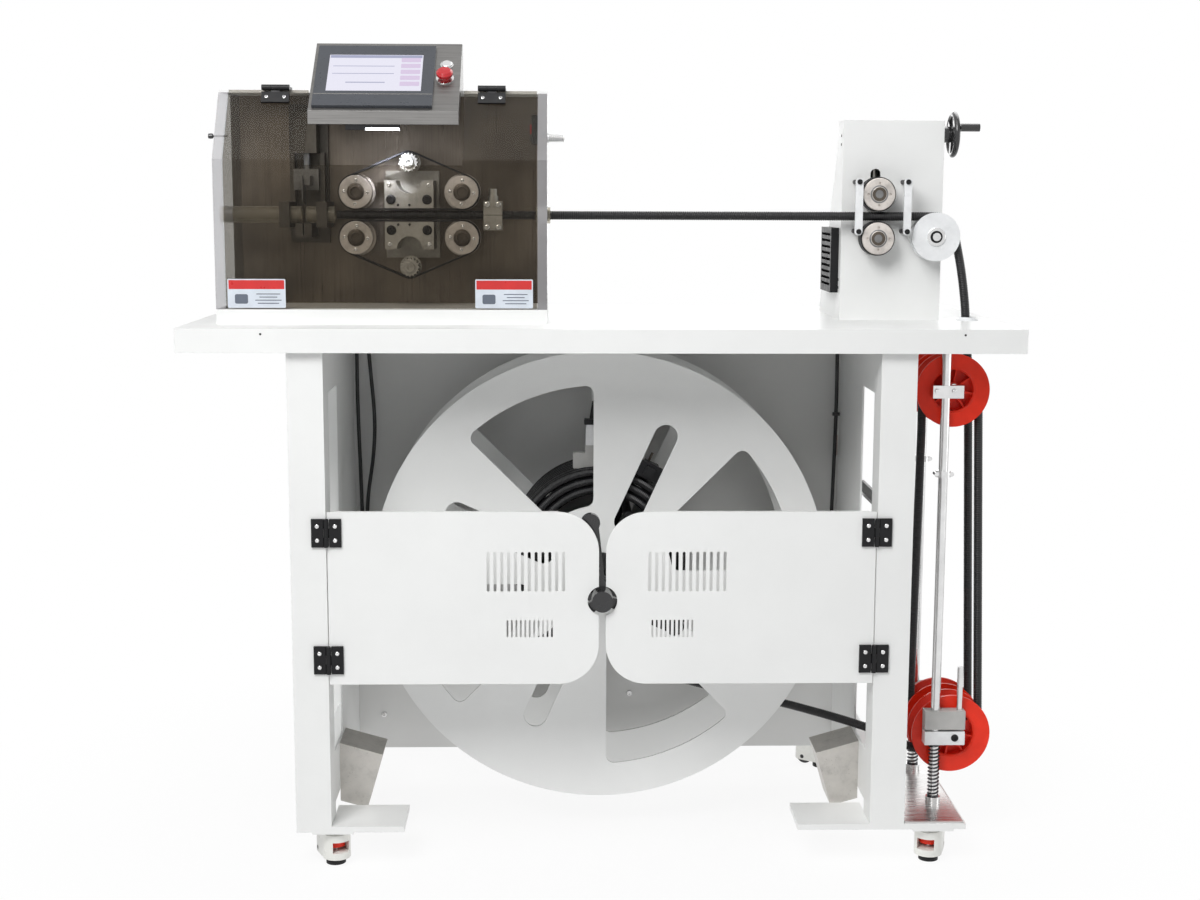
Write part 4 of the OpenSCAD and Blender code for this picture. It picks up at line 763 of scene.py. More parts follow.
def smooth_path(points: Sequence[Vec], per_span: int = 12) -> Array:
    """Draws a curve whose spans are cubics that leave along the chord of their neighbours.

    Args:
        points: What the curve passes through.
        per_span: Steps between two of them.

    Returns:
        The curve's points.
    """
    p = np.array(points, float)
    padded = np.vstack([2 * p[0] - p[1], p, 2 * p[-1] - p[-2]])
    t = np.linspace(0.0, 1.0, per_span, endpoint=False)[:, None]
    a, b, c, d = padded[:-3], padded[1:-2], padded[2:-1], padded[3:]
    spans = [
        0.5
        * (
            2 * b[n]
            + (c[n] - a[n]) * t
            + (2 * a[n] - 5 * b[n] + 4 * c[n] - d[n]) * t**2
            + (3 * b[n] - a[n] - 3 * c[n] + d[n]) * t**3
        )
        for n in range(len(p) - 1)
    ]
    return np.vstack([*spans, p[-1:]])


def arc_path(centre: Vec, radius: float, start: float, end: float, steps: int = 48) -> Array:
    """Draws an arc: centre + radius * (cos a, 0, sin a), for a from start to end.

    Args:
        centre: The middle of the circle.
        radius: Its radius.
        start: The first angle in degrees.
        end: The last angle in degrees.
        steps: Steps between them.

    Returns:
        The arc's points.
    """
    a = np.radians(np.linspace(start, end, steps + 1))
    ring = np.stack([np.cos(a), np.zeros_like(a), np.sin(a)], axis=1)
    return np.array(centre, float) + radius * ring


def tube_shape(path: Array, radii: float | Array, sides: int = 16) -> Shape:
    """Makes a round tube: path(s) + r(s) * (cos v * first(s) + sin v * second(s)).

    Args:
        path: The middle line.
        radii: One radius, or one for each point of the path.
        sides: Faces round the tube.

    Returns:
        The tube, closed at its ends.
    """
    first, second = path_frames(path)
    v = round_angles(sides)
    ring = first[:, None, :] * np.cos(v)[None, :, None] + second[:, None, :] * np.sin(v)[None, :, None]
    r = np.broadcast_to(np.asarray(radii, float), (len(path),))
    points = path[:, None, :] + r[:, None, None] * ring
    return grid_shape(points[:, ::-1], wrap_columns=True, caps=True, along=lengths_along(path))


def ribbed_tube(path: Array, radius: float, pitch: float, depth: float, sides: int = 14) -> Shape:
    """Makes a tube whose radius falls by depth * (1 - cos(2 pi s / pitch)) / 2 between its rings.

    Args:
        path: The middle line.
        radius: The radius at the rings.
        pitch: From ring to ring.
        depth: The depth of the grooves.
        sides: Faces round the tube.

    Returns:
        The tube.
    """
    fine = resampled(path, pitch / 5)
    s = np.arange(len(fine)) * pitch / 5
    return tube_shape(fine, radius - depth * (1 - np.cos(2 * math.pi * s / pitch)) / 2, sides)


def rings_shape(rows: Rings, v: Array, caps: bool = True) -> Shape:
    """A surface about Z: (r cos v, r sin v, h) for each row's r, at angles v, from the base up."""
    rings = [np.stack([r * np.cos(v), r * np.sin(v), np.full(len(v), h)], axis=1) for r, h in rows]
    return grid_shape(np.stack(rings), wrap_columns=True, caps=caps)


def turned_shape(rows: Rings, start: Vec, way: Vec, sides: int) -> Shape:
    """A turned shape whose base is at a place and whose axis points one way."""
    shape = rings_shape(rows, round_angles(sides))
    return shape.copies(np.array([start]), axes_towards(np.array([way])))


def screw_shape(radius: float, height: float, recess: Recess) -> Shape:
    """A domed head about Z with a recess whose edge is a polar curve.

    The edge is r(v) = a / cos(v mod 60 - 30) for a hexagon, and the nearest of the arm's end and
    the arm's side for a cross. The rings run from the rim over the dome to that edge and down it.

    Args:
        radius: The head's radius.
        height: The head's height.
        recess: The kind of recess.

    Returns:
        The shape, with its base at Z 0.
    """
    v = round_angles(24) + 1e-4
    if recess is Recess.HEX:
        edge = 0.46 * radius / np.cos((v % (math.pi / 3)) - math.pi / 6)
        deep = 0.55 * height
    elif recess is Recess.CROSS:
        narrow = np.minimum(np.abs(np.sin(v)), np.abs(np.cos(v)))
        edge = np.minimum(0.62 * radius, 0.13 * radius / np.maximum(narrow, 1e-3))
        deep = 0.5 * height
    else:
        edge, deep = 0.3 * radius, 0.0
    rows = [
        (radius, 0.0),
        (radius, 0.45 * height),
        (0.9 * radius, 0.8 * height),
        (np.maximum(0.74 * radius, edge * 1.05), 0.96 * height),
        (edge, height),
        (edge * 0.9, height - deep),
        (edge * 0.02, height - deep),
    ]
    return rings_shape(rows, v)


def slab_shape(lo: Vec, hi: Vec, corner: float = 0.0, axis: int = 2, steps: int = 5) -> Shape:
    """A plate between two corners, its outline rounded in the plane across one axis.

    The outline is four quarter circles: corner centre + corner * (cos a, sin a).

    Args:
        lo: The low corner.
        hi: The high corner.
        corner: The radius of the outline's corners.
        axis: The axis along which it is thick.
        steps: Segments in each quarter circle.

    Returns:
        The shape.
    """
    low, high = np.array(lo, float), np.array(hi, float)
    u, w = [k for k in range(3) if k != axis]
    r = max(corner, 1e-6)
    a = np.radians(np.linspace(0.0, 90.0, steps + 1))
    quarters = []
    for n, (cu, cw) in enumerate(
        ((high[u], high[w]), (low[u], high[w]), (low[u], low[w]), (high[u], low[w]))
    ):
        su, sw = (-1 if cu == high[u] else 1), (-1 if cw == high[w] else 1)
        turn = a + n * math.pi / 2
        quarters.append(
            np.stack([cu + su * r + r * np.cos(turn), cw + sw * r + r * np.sin(turn)], axis=1)
        )
    outline = np.vstack(quarters)
    rows = np.zeros((2, len(outline), 3))
    rows[:, :, u] = outline[:, 0]
    rows[:, :, w] = outline[:, 1]
    rows[0, :, axis] = low[axis]
    rows[1, :, axis] = high[axis]
    if axis == 1:
        rows = rows[::-1]
    return grid_shape(rows, wrap_columns=True, caps=True)


def slabs(*plates: tuple) -> Shape:
    """Several plates as one shape, each with what slab_shape takes."""
    return Shape.joined([slab_shape(*plate) for plate in plates])


def to_scene(name: str, data: bpy.types.ID) -> bpy.types.Object:
    """Puts a new object into the scene.

    Args:
        name: Its name.
        data: Its mesh, lamp or camera.

    Returns:
        The object.
    """
    item = bpy.data.objects.new(name, data)
    bpy.context.scene.collection.objects.link(item)
    return item


def to_piece(
    name: str,
    shape: Shape,
    finish: Finish,
    body: Body | str | None,
    bevel: float = 0.0,
    angle: float = 35.0,
) -> bpy.types.Object:
    """Puts a shape into a mesh object, in metres and at the origin.

    Args:
        name: The piece's name.
        shape: Its points and faces.
        finish: Its finish.
        body: The body that it rides on, or None to leave that to the caller.
        bevel: The width of a bevel along its sharp edges, in millimetres.
        angle: Edges sharper than this many degrees stay sharp.

    Returns:
        The object.
    """
    mesh = bpy.data.meshes.new(name)
    mesh.from_pydata((shape.points * MM).tolist(), [], shape.faces)
    if shape.along is not None:
        layer = mesh.uv_layers.new(name="along")
        corners = np.empty(len(mesh.loops), np.int64)
        mesh.loops.foreach_get("vertex_index", corners)
        uv = np.zeros((len(corners), 2), np.float32)
        uv[:, 0] = shape.along[corners] * MM
        layer.data.foreach_set("uv", uv.ravel())
    else:
        work = bmesh.new()
        work.from_mesh(mesh)
        bmesh.ops.remove_doubles(work, verts=work.verts, dist=1e-7)
        bmesh.ops.recalc_face_normals(work, faces=work.faces)
        work.to_mesh(mesh)
        work.free()
    mesh.polygons.foreach_set("use_smooth", np.ones(len(mesh.polygons), bool))
    mesh.set_sharp_from_angle(angle=math.radians(angle))
    mesh.update()
    piece = to_scene(name, mesh)
    piece.data.materials.append(material_of(finish))
    if bevel > 0:
        edges = piece.modifiers.new("edges", "BEVEL")
        edges.width = bevel * MM
        edges.segments = 2
        edges.limit_method = "ANGLE"
        edges.angle_limit = math.radians(40)
    if body is not None:
        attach(piece, body.value if isinstance(body, Body) else body)
    LOG.info("%s: %d faces", name, len(mesh.polygons))
    return piece


def between(axis: int, low: float = -math.inf, high: float = math.inf) -> Test:
    """Picks the faces whose middle lies between two values along an axis."""
    return lambda p: (p[:, axis] > low) & (p[:, axis] < high)


def dress(node: str, finish: Finish, zones: Sequence[tuple[Test, Finish]] = ()) -> None:
    """Gives a CAD node its finish, and other finishes to the faces that a test picks.

    Args:
        node: The node's name.
        finish: The finish of the whole node.
        zones: Tests on the faces' centres in millimetres, each with its finish.
    """
    mesh = frame["nodes"][node].data
    mesh.materials.clear()
    mesh.materials.append(material_of(finish))
    index = np.zeros(len(mesh.polygons), np.int32)
    if zones:
        centres = np.empty(len(mesh.polygons) * 3, np.float32)
        mesh.polygons.foreach_get("center", centres)
        places = centres.reshape(-1, 3) / MM
        for n, (test, other) in enumerate(zones):
            mesh.materials.append(material_of(other))
            index[test(places)] = n + 1
    mesh.polygons.foreach_set("material_index", index)


@dataclass
class Camera:
    """The camera of the photograph, as fitted to the table, the doors and the flanges."""

    place: Vec = (-74.7, -3136.6, 1150.6)
    down: float = 8.43
    right: float = 1.4
    roll: float = -0.2
    lens: float = 52.04

    def build(self) -> None:
        """Makes the camera: its axes come from the tilt, the turn and the roll."""
        down, right, roll = (math.radians(a) for a in (self.down, self.right, self.roll))
        forward = np.array(
            [
                math.sin(right) * math.cos(down),
                math.cos(right) * math.cos(down),
                -math.sin(down),
            ]
        )
        level = np.array([math.cos(right), -math.sin(right), 0.0])
        lower = np.cross(forward, level)
        across = math.cos(roll) * level + math.sin(roll) * lower
        under = -math.sin(roll) * level + math.cos(roll) * lower
        data = bpy.data.cameras.new("camera")
        data.lens = self.lens
        data.sensor_width = 36.0
        data.clip_end = 60.0
        camera = to_scene("camera", data)
        turn = Matrix([list(row) for row in np.stack([across, -under, -forward], axis=1)])
        place = Matrix.Translation([v * MM for v in self.place])
        camera.matrix_world = place @ turn.to_4x4()
        bpy.context.scene.camera = camera


@dataclass(frozen=True)
class Lamp:
    """A soft lamp, in metres and watts."""

    name: str
    place: Vec
    target: Vec
    size: float
    power: float

    def build(self, shape: str = "DISK") -> bpy.types.Light:
        """Makes the lamp, aimed at its target.

        Args:
            shape: The outline of the area that glows.

        Returns:
            Its light data.
        """
        data = bpy.data.lights.new(self.name, "AREA")
        data.shape = shape
        data.size = self.size
        data.energy = self.power
        lamp = to_scene(self.name, data)
        way = np.array(self.place) - np.array(self.target)
        turn = Matrix(axes_towards(way[None, :])[0].tolist()).to_4x4()
        lamp.matrix_world = Matrix.Translation(self.place) @ turn
        return data


@dataclass
class Studio:
    """A pale floor, a white surround, soft lamps and the machine's own lamp."""

    ambient: float = 0.17
    floor_level: float = -0.0005
    floor_tone: float = 0.92
    floor_white: float = 0.9
    floor_bounce: float = 0.85
    fade_ring: Spot = (0.4, 1.3)
    bounce_ring: Spot = (0.55, 1.0)
    floor_rings: tuple[float, ...] = (0.0, 0.6, 1.2, 2.0, 4.0, 8.0, 16.0, 30.0)
    lamps: tuple[Lamp, ...] = (
        Lamp("key", (-1.3, -2.7, 3.0), (0.0, -0.1, 0.5), 1.8, 88.0),
        Lamp("high", (-0.5, -1.9, 4.0), (-0.2, -0.1, 0.7), 2.4, 34.0),
        Lamp("top", (1.0, 0.9, 2.8), (0.1, 0.0, 0.9), 2.0, 24.0),
        Lamp("side", (3.4, -0.9, 1.0), (0.5, 0.0, 0.5), 1.6, 12.0),
        Lamp("back", (0.4, 3.2, 1.6), (0.0, 0.0, 0.6), 2.0, 16.0),
    )
    beam_depth: float = 0.01
    beam_colour: Colour = (0.8, 0.85, 1.0)
    beam_spread: float = 50.0
    work_lamp: Lamp = Lamp("work_lamp", (-0.366, -0.19, 1.249), (-0.366, -0.06, 1.139), 0.05, 0.16)

    def build(self) -> None:
        """Makes the world, the floor and the lamps."""
        self.surround()
        self.floor()
        for lamp in self.lamps:
            lamp.build()
        beam = self.work_lamp.build("RECTANGLE")
        beam.size_y = self.beam_depth
        beam.color = self.beam_colour
        beam.spread = math.radians(self.beam_spread)

    def surround(self) -> None:
        """Makes the world white to the eye, and dimmer as a light."""
        world = bpy.data.worlds.new("surround")
        bpy.context.scene.world = world
        world.use_nodes = True
        tree = Tree(world.node_tree)
        shades = []
        for colour, strength in (((0.96, 0.98, 1.0), self.ambient), (WHITE, 1.0)):
            shade = tree.add("ShaderNodeBackground")
            shade.inputs["Color"].default_value = (*colour, 1.0)
            shade.inputs["Strength"].default_value = strength
            shades.append(shade.outputs[0])
        tree.mix_to(tree.add("ShaderNodeOutputWorld").inputs[0], tree.seen(), *shades)

    def floor(self) -> None:
        """Makes a round floor that keeps a soft shadow and turns white away from the machine."""
        mesh = bpy.data.meshes.new("floor")
        rings = [(radius, self.floor_level) for radius in self.floor_rings]
        shape = rings_shape(rings, round_angles(64), caps=False)
        mesh.from_pydata(shape.points.tolist(), [], shape.faces)
        floor = to_scene("floor", mesh)
        mesh.materials.append(self.floor_material())

    def floor_material(self) -> bpy.types.Material:
        """Makes the floor matt under the machine, with light of its own, and white further out.

        Returns:
            The material.
        """
        material = bpy.data.materials.new("floor")
        material.use_nodes = True
        tree = Tree(material.node_tree)
        matt = tree.add("ShaderNodeBsdfDiffuse")
        matt.inputs["Color"].default_value = (*(self.floor_tone,) * 3, 1.0)
        white = tree.add("ShaderNodeEmission")
        length = tree.add("ShaderNodeVectorMath", operation="LENGTH")
        tree.link(tree.add("ShaderNodeTexCoord").outputs["Object"], length.inputs[0])
        away = length.outputs["Value"]
        smooth = {"interpolation_type": "SMOOTHSTEP"}
        fade = tree.ranged(away, self.floor_white, 1.0, *self.fade_ring, **smooth)
        bounce = tree.ranged(away, self.floor_bounce, 0.0, *self.bounce_ring, **smooth)
        share = tree.add("ShaderNodeMapRange")
        tree.link(tree.seen(), share.inputs[0])
        tree.link(bounce, share.inputs[3])
        tree.link(fade, share.inputs[4])
        out = tree.add("ShaderNodeOutputMaterial")
        tree.mix_to(out.inputs[0], share.outputs[0], matt.outputs[0], white.outputs[0])
        return material


@dataclass
class TubeLine:
    """The ribbed tube from the coil through the accumulator and the tower to the cutter."""

    radius: float = 7.9
    pitch: float = 3.2
    depth: float = 0.9
    line: Spot = (-105.0, 1112.0)
    upper: tuple[float, float, float] = (608.0, 815.0, 49.0)
    lower: tuple[float, float, float] = (624.0, 201.0, 53.0)
    front_row: float = -150.0
    rear_row: float = -74.0
    guide: tuple[float, float, float] = (582.0, 1077.0, 35.0)
    blade_end: float = -456.0
    coil_centre: Spot = (0.0, 508.0)
    coil_outer: float = 160.0
    coil_inner: float = 97.0
    coil_from: float = -92.0
    coil_to: float = 67.0
    coil_start: float = -110.8
    loop_start: float = -111.0
    guide_start: float = 12.0
    seed: int = 7
    rise: tuple[Vec, ...] = (
        (653.0, -76.0, 871.0), (647.0, -84.5, 910.0), (642.0, -90.0, 960.0), (631.0, -100.0, 1020.0),
    )
    lead: tuple[Vec, ...] = (
        (150.0, -54.0, 271.0), (345.0, -95.0, 232.0), (475.0, -138.0, 204.0), (548.0, -149.0, 174.0),
    )

    def ribbed(self, path: Array) -> Shape:
        """The tube along a path."""
        return ribbed_tube(path, self.radius, self.pitch, self.depth)

    def build(self) -> None:
        """Builds every stretch, each on the body that carries it."""
        self.build_run()
        self.build_strands()
        self.build_loops()
        self.build_coil()

    def build_run(self) -> None:
        """The half turn on the front upper pulley, and the way from the rear one to the head."""
        ux, uz, ur = self.upper
        gx, gz, gr = self.guide
        y, z = self.line
        turn = self.ribbed(arc_path((ux, self.front_row, uz), ur, 0.0, 180.0))
        start = arc_path((ux, self.rear_row, uz), ur, 0.0, 6.0, 3)
        bend = arc_path((gx, y, gz), gr, self.guide_start, 90.0, 24)
        rise = smooth_path([tuple(start[-1]), *self.rise, tuple(bend[0])])
        path = np.vstack([start[:-1], rise[:-1], bend, [[self.blade_end, y, z]]])
        shape = Shape.joined([turn, self.ribbed(path)])
        piece = to_piece("tube_through_head", shape, TUBE, Body.FRAME)
        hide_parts("tube_run")

    def build_strands(self) -> None:
        """Three strands that stretch with the carriage, and the lead-in from the coil."""
        ux, uz, ur = self.upper
        lx, lz, lr = self.lower
        low, high = lz + 0.8, uz - 0.8
        left = (lx - lr, ux - ur)
        lines = [
            [(lx + lr, self.front_row, low), (ux + ur, self.front_row, high)],
            [
                (left[0], self.rear_row, low),
                (left[0] - 1.0, self.rear_row - 2.0, lz + 79.5),
                (left[1] + 1.0, self.front_row + 2.0, uz - 73.5),
                (left[1], self.front_row, high),
            ],
            [(lx + lr, self.rear_row, low), (ux + ur, self.rear_row, high)],
        ]
        strands = Shape.joined([self.ribbed(np.array(line)) for line in lines])
        piece = to_piece("accumulator_strands", strands, TUBE, None)
        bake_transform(piece)
        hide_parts("tube_strands")
        cx, cz = self.coil_centre
        reach = self.coil_outer + self.radius + 0.3
        leave = arc_path((cx, -20.0, cz), reach, self.coil_start, self.coil_start, 1)[0]
        end = arc_path((lx, self.front_row, lz), lr, self.loop_start, self.loop_start, 1)[0]
        lead = smooth_path([tuple(leave), *self.lead, tuple(end)])
        piece = to_piece("lead_in_from_coil", self.ribbed(lead), TUBE, None)
        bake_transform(piece)

    def build_loops(self) -> None:
        """The tube round the two lower pulleys."""
        lx, lz, lr = self.lower
        loops = [
            arc_path((lx, self.front_row, lz), lr, self.loop_start, 0.0),
            arc_path((lx, self.rear_row, lz), lr, -180.0, 0.0),
        ]
        shape = Shape.joined([self.ribbed(path) for path in loops])
        piece = to_piece("tube_under_lower_pulleys", shape, TUBE, Body.CARRIAGE)
        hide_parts("tube_loops")

    def build_coil(self) -> None:
        """The wound coil, as rings in layers that wander a little.

        Ring n follows centre + (r + a sin(t + p)) * (cos t, 0, sin t) with y + b sin(2 t + q).
        """
        cx, cz = self.coil_centre
        r = self.radius
        draw = np.random.default_rng(self.seed)
        width = self.coil_to - self.coil_from
        count = int(width // (2 * r + 0.1))
        across = self.coil_from + r + 0.6 + np.arange(count) * (width - 2 * r - 1.2) / (count - 1)
        layers = int((self.coil_outer - self.coil_inner) // (2 * r + 0.4))
        radii = self.coil_outer - r - 1.2 - np.arange(layers) * (2 * r + 0.6)
        t = np.linspace(0.0, 2 * math.pi, 97)
        rings = []
        for layer, radius in enumerate(radii):
            for n, y in enumerate(across):
                if 0 < layer < layers - 1 and 0 < n < count - 1:
                    continue
                a, b = draw.uniform(0.2, 1.1, 2)
                p, q = draw.uniform(0.0, 2 * math.pi, 2)
                reach = radius + a * np.sin(t + p)
                path = np.stack(
                    [cx + reach * np.cos(t), y + b * np.sin(2 * t + q) * 0.5, cz + reach * np.sin(t)],
                    axis=1,
                )
                rings.append(tube_shape(path, r - 0.2, 10))
        shape = Shape.joined(rings)
        piece = to_piece("wound_tube", shape, TUBE, Body.SPOOL)
        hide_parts("tube_coil")


@dataclass
class Springs:
    """The two buffer springs under the carriage."""

    x: float = 592.0
    rows: Spot = (-186.0, -8.0)
    low: float = 91.0
    high: float = 187.6
    wire: float = 1.25
    mean: float = 9.15
    turns: float = 16.0
    flat_share: float = 0.06

    def build(self) -> None:
        """Helices whose last turns lie flat: height follows the turn by a smooth ramp."""
        t = np.linspace(0.0, 1.0, 700)
        climb = np.clip((t - self.flat_share) / (1 - 2 * self.flat_share), 0.0, 1.0)
        rise = self.wire * (1 + 2 * t) + climb * (self.high - self.low - 4 * self.wire)
        a = 2 * math.pi * self.turns * t
        shapes = []
        for y in self.rows:
            path = np.stack(
                [self.x + self.mean * np.cos(a), y + self.mean * np.sin(a), self.low + rise], axis=1
            )
            shapes.append(tube_shape(path, self.wire, 8))
        piece = to_piece("buffer_spring_wires", Shape.joined(shapes), SPRING_STEEL, Body.FRAME)
        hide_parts("buffer_springs")


@dataclass(frozen=True)
class Head:
    """The head of one kind of screw."""

    radius: float
    height: float
    recess: Recess
    finish: Finish

    def add(
        self, name: str, places: Sequence[Vec], way: Vec = FRONT, body: Body | str = Body.FRAME
    ) -> None:
        """A set of equal screws that face one way.

        Args:
            name: The piece's name.
            places: The middle of the base of each head.
            way: The direction that the heads face.
            body: The body that they ride on.
        """
        turns = axes_towards(np.repeat([way], len(places), axis=0).astype(float))
        head = screw_shape(self.radius, self.height, self.recess)
        to_piece(name, head.copies(np.array(places, float), turns), self.finish, body)


@dataclass
class Fasteners:
    """Screws on the sheets, the hinges and the brackets."""

    hinge_x: float = 461.0
    hinge_front: float = -290.3
    hinge_heights: Spot = (370.0, 588.0)
    hinge_reach: float = 14.9
    hinge_half: float = 12.0
    cover_hinges: Spot = (-552.0, -187.0)
    cover_slope: Vec = (0.0, -118.0, 76.0)
    panel_face: float = 145.0
    panel_screws: tuple[Spot, ...] = ((-414.0, 143.0), (64.0, 184.0), (440.0, 143.0))
    rod_face: float = -197.8
    carriage_bolt: Spot = (625.0, 201.0)
    rod_clamp_x: Spot = (574.3, 604.0)
    rod_clamp_z: float = 817.0
    tower_side: Spot = (422.2, -62.0)
    tower_heights: tuple[float, ...] = (1251.0, 1236.0, 1000.0, 986.0)
    table_front: float = -300.0
    table_screws: tuple[Spot, ...] = ((-560.0, 921.0), (596.0, 921.0))

    def build(self) -> None:
        """Builds every set."""
        for side, word, door in ((-1, "left", Body.LEFT_DOOR), (1, "right", Body.RIGHT_DOOR)):
            for kind, away, owner in (("door", -1, door), ("leg", 1, Body.FRAME)):
                x = side * (self.hinge_x + away * self.hinge_reach)
                places = [
                    (x, self.hinge_front, z + up * self.hinge_half)
                    for z in self.hinge_heights
                    for up in (-1, 1)
                ]
                hinge = Head(3.6, 1.6, Recess.CROSS, BRIGHT_STEEL)
                hinge.add(f"{word}_{kind}_hinge_screws", places, body=owner)
        places = [(x + s * 15.0, -140.0, 1309.0) for x in self.cover_hinges for s in (-1, 1)]
        cover = Head(3.6, 2.0, Recess.HEX, BRIGHT_STEEL)
        cover.add("cover_hinge_screws", places, self.cover_slope, Body.COVER)
        places = [(x, self.panel_face, z) for x, z in self.panel_screws]
        Head(5.5, 2.4, Recess.HEX, BRIGHT_STEEL).add("back_panel_screws", places)
        bolt = Head(6.5, 2.6, Recess.HEX, BLACK_STEEL)
        x, z = self.carriage_bolt
        bolt.add("carriage_bolt", [(x, self.rod_face, z)], body=Body.CARRIAGE)
        places = [(x, self.rod_face, self.rod_clamp_z) for x in self.rod_clamp_x]
        Head(3.8, 2.0, Recess.HEX, BRIGHT_STEEL).add("rod_clamp_screws", places)
        places = [(*self.tower_side, z) for z in self.tower_heights]
        side = Head(2.4, 1.0, Recess.PLAIN, BLACK_STEEL)
        side.add("tower_side_screws", places, (-1.0, 0.0, 0.0))
        places = [(x, self.table_front, z) for x, z in self.table_screws]
        Head(1.8, 0.8, Recess.PLAIN, BLACK_STEEL).add("table_edge_screws", places)


@dataclass
class Stickers:
    """Plain stickers on the cover: a red band over a pale field with ruled lines."""

    face: float = -205.0
    places: tuple[Spot, ...] = ((-629.0, -532.0), (-214.0, -117.0))
    low: float = 957.5
    high: float = 1006.0
    insets: tuple[float, ...] = (6.0, 2.0, 9.0, 4.0)
    pitch: float = 5.2

    def plate(self, box: Box, back: float, front: float, corner: float) -> Shape:
        """A plate over left, foot, right and top, between two heights above the cover's face."""
        x0, z0, x1, z1 = box
        return slab_shape((x0, self.face - front, z0), (x1, self.face - back, z1), corner, 1)

    def build(self) -> None:
        """Builds the fields, the bands and the lines as thin plates."""
        low, high = self.low, self.high
        fields, bands, lines = [], [], []
        for x0, x1 in self.places:
            fields.append(self.plate((x0, low, x1, high), 0.0, 0.25, 2.0))
            bands.append(self.plate((x0 + 2, high - 17, x1 - 2, high - 2), 0.2, 0.4, 1.0))
            for n, inset in enumerate(self.insets):
                z = low + 7.0 + self.pitch * n
                box = (x0 + 44 + inset, z, x1 - 5 - inset, z + 1.5)
                lines.append(self.plate(box, 0.2, 0.36, 0.5))
            lines.append(self.plate((x0 + 12, low + 7, x0 + 34, low + 23), 0.2, 0.36, 3.0))
        for name, plates, finish, slot in (
            ("fields", fields, STICKER_PALE, "white_plastic"),
            ("bands", bands, STICKER_RED, "red_plastic"),
            ("lines", lines, STICKER_INK, "black_plastic"),
        ):
            to_piece(f"sticker_{name}", Shape.joined(plates), finish, Body.COVER)


@dataclass
class Console:
    """What shows on the touch screen, on the console's sloped face, and the lamp's lens under it.

    A box is left, foot, right and top from the bezel's lower left corner.
    """

    left: float = -484.0
    foot: Spot = (-200.0, 1284.0)
    slope: float = math.degrees(math.atan2(120.0, 135.0))
    thickness: float = 6.0
    lens: tuple[Vec, Vec] = ((-395.0, -198.4, 1252.6), (-338.4, -185.8, 1256.5))
    page: Box = (20.5, 45.5, 179.5, 142.5)
    keys: tuple[Box, ...] = tuple((143.0, 59.0 + 16 * n, 176.0, 70.0 + 16 * n) for n in range(5))
    bars: tuple[Box, ...] = (
        (22.0, 134.0, 178.0, 141.0), (52.0, 67.0, 118.0, 69.0), (28.0, 111.0, 132.0, 112.2),
        (28.0, 91.0, 132.0, 92.2),
    )
    line: Box = (1.0, 36.0, 199.0, 38.0)

    def plates(self, boxes: Sequence[Box], up: float, corner: float) -> Shape:
        """Thin plates on the face.

        Args:
            boxes: The outline of each.
            up: The height of their tops above the face.
            corner: The radius of their corners.

        Returns:
            The plates in place.
        """
        flat = slabs(*(((x0, y0, up - 0.3), (x1, y1, up), corner) for x0, y0, x1, y1 in boxes))
        a = math.radians(self.slope)
        turn = np.array([[1, 0, 0], [0, math.cos(a), -math.sin(a)], [0, math.sin(a), math.cos(a)]])
        return Shape(flat.points @ turn.T + np.array([self.left, *self.foot]), flat.faces)

    def build(self) -> None:
        """Builds the lens, the lit page, its side keys, its bars and the line across the bezel."""
        to_piece("lamp_lens", slab_shape(*self.lens, 1.0), LAMP, Body.FRAME, 0.8)
        top = self.thickness
        for name, boxes, up, corner, finish, slot in (
            ("screen_page", [self.page], top - 0.6, 0.5, DISPLAY, "screen_glass"),
            ("screen_keys", self.keys, top - 0.35, 1.5, DISPLAY_LILAC, "screen_glass"),
            ("screen_bars", self.bars, top - 0.35, 0.4, DISPLAY_BLUE, "screen_glass"),
            ("bezel_line", [self.line], top + 0.15, 0.2, CONSOLE, ""),
        ):
            to_piece(name, self.plates(boxes, up, corner), finish, Body.FRAME)


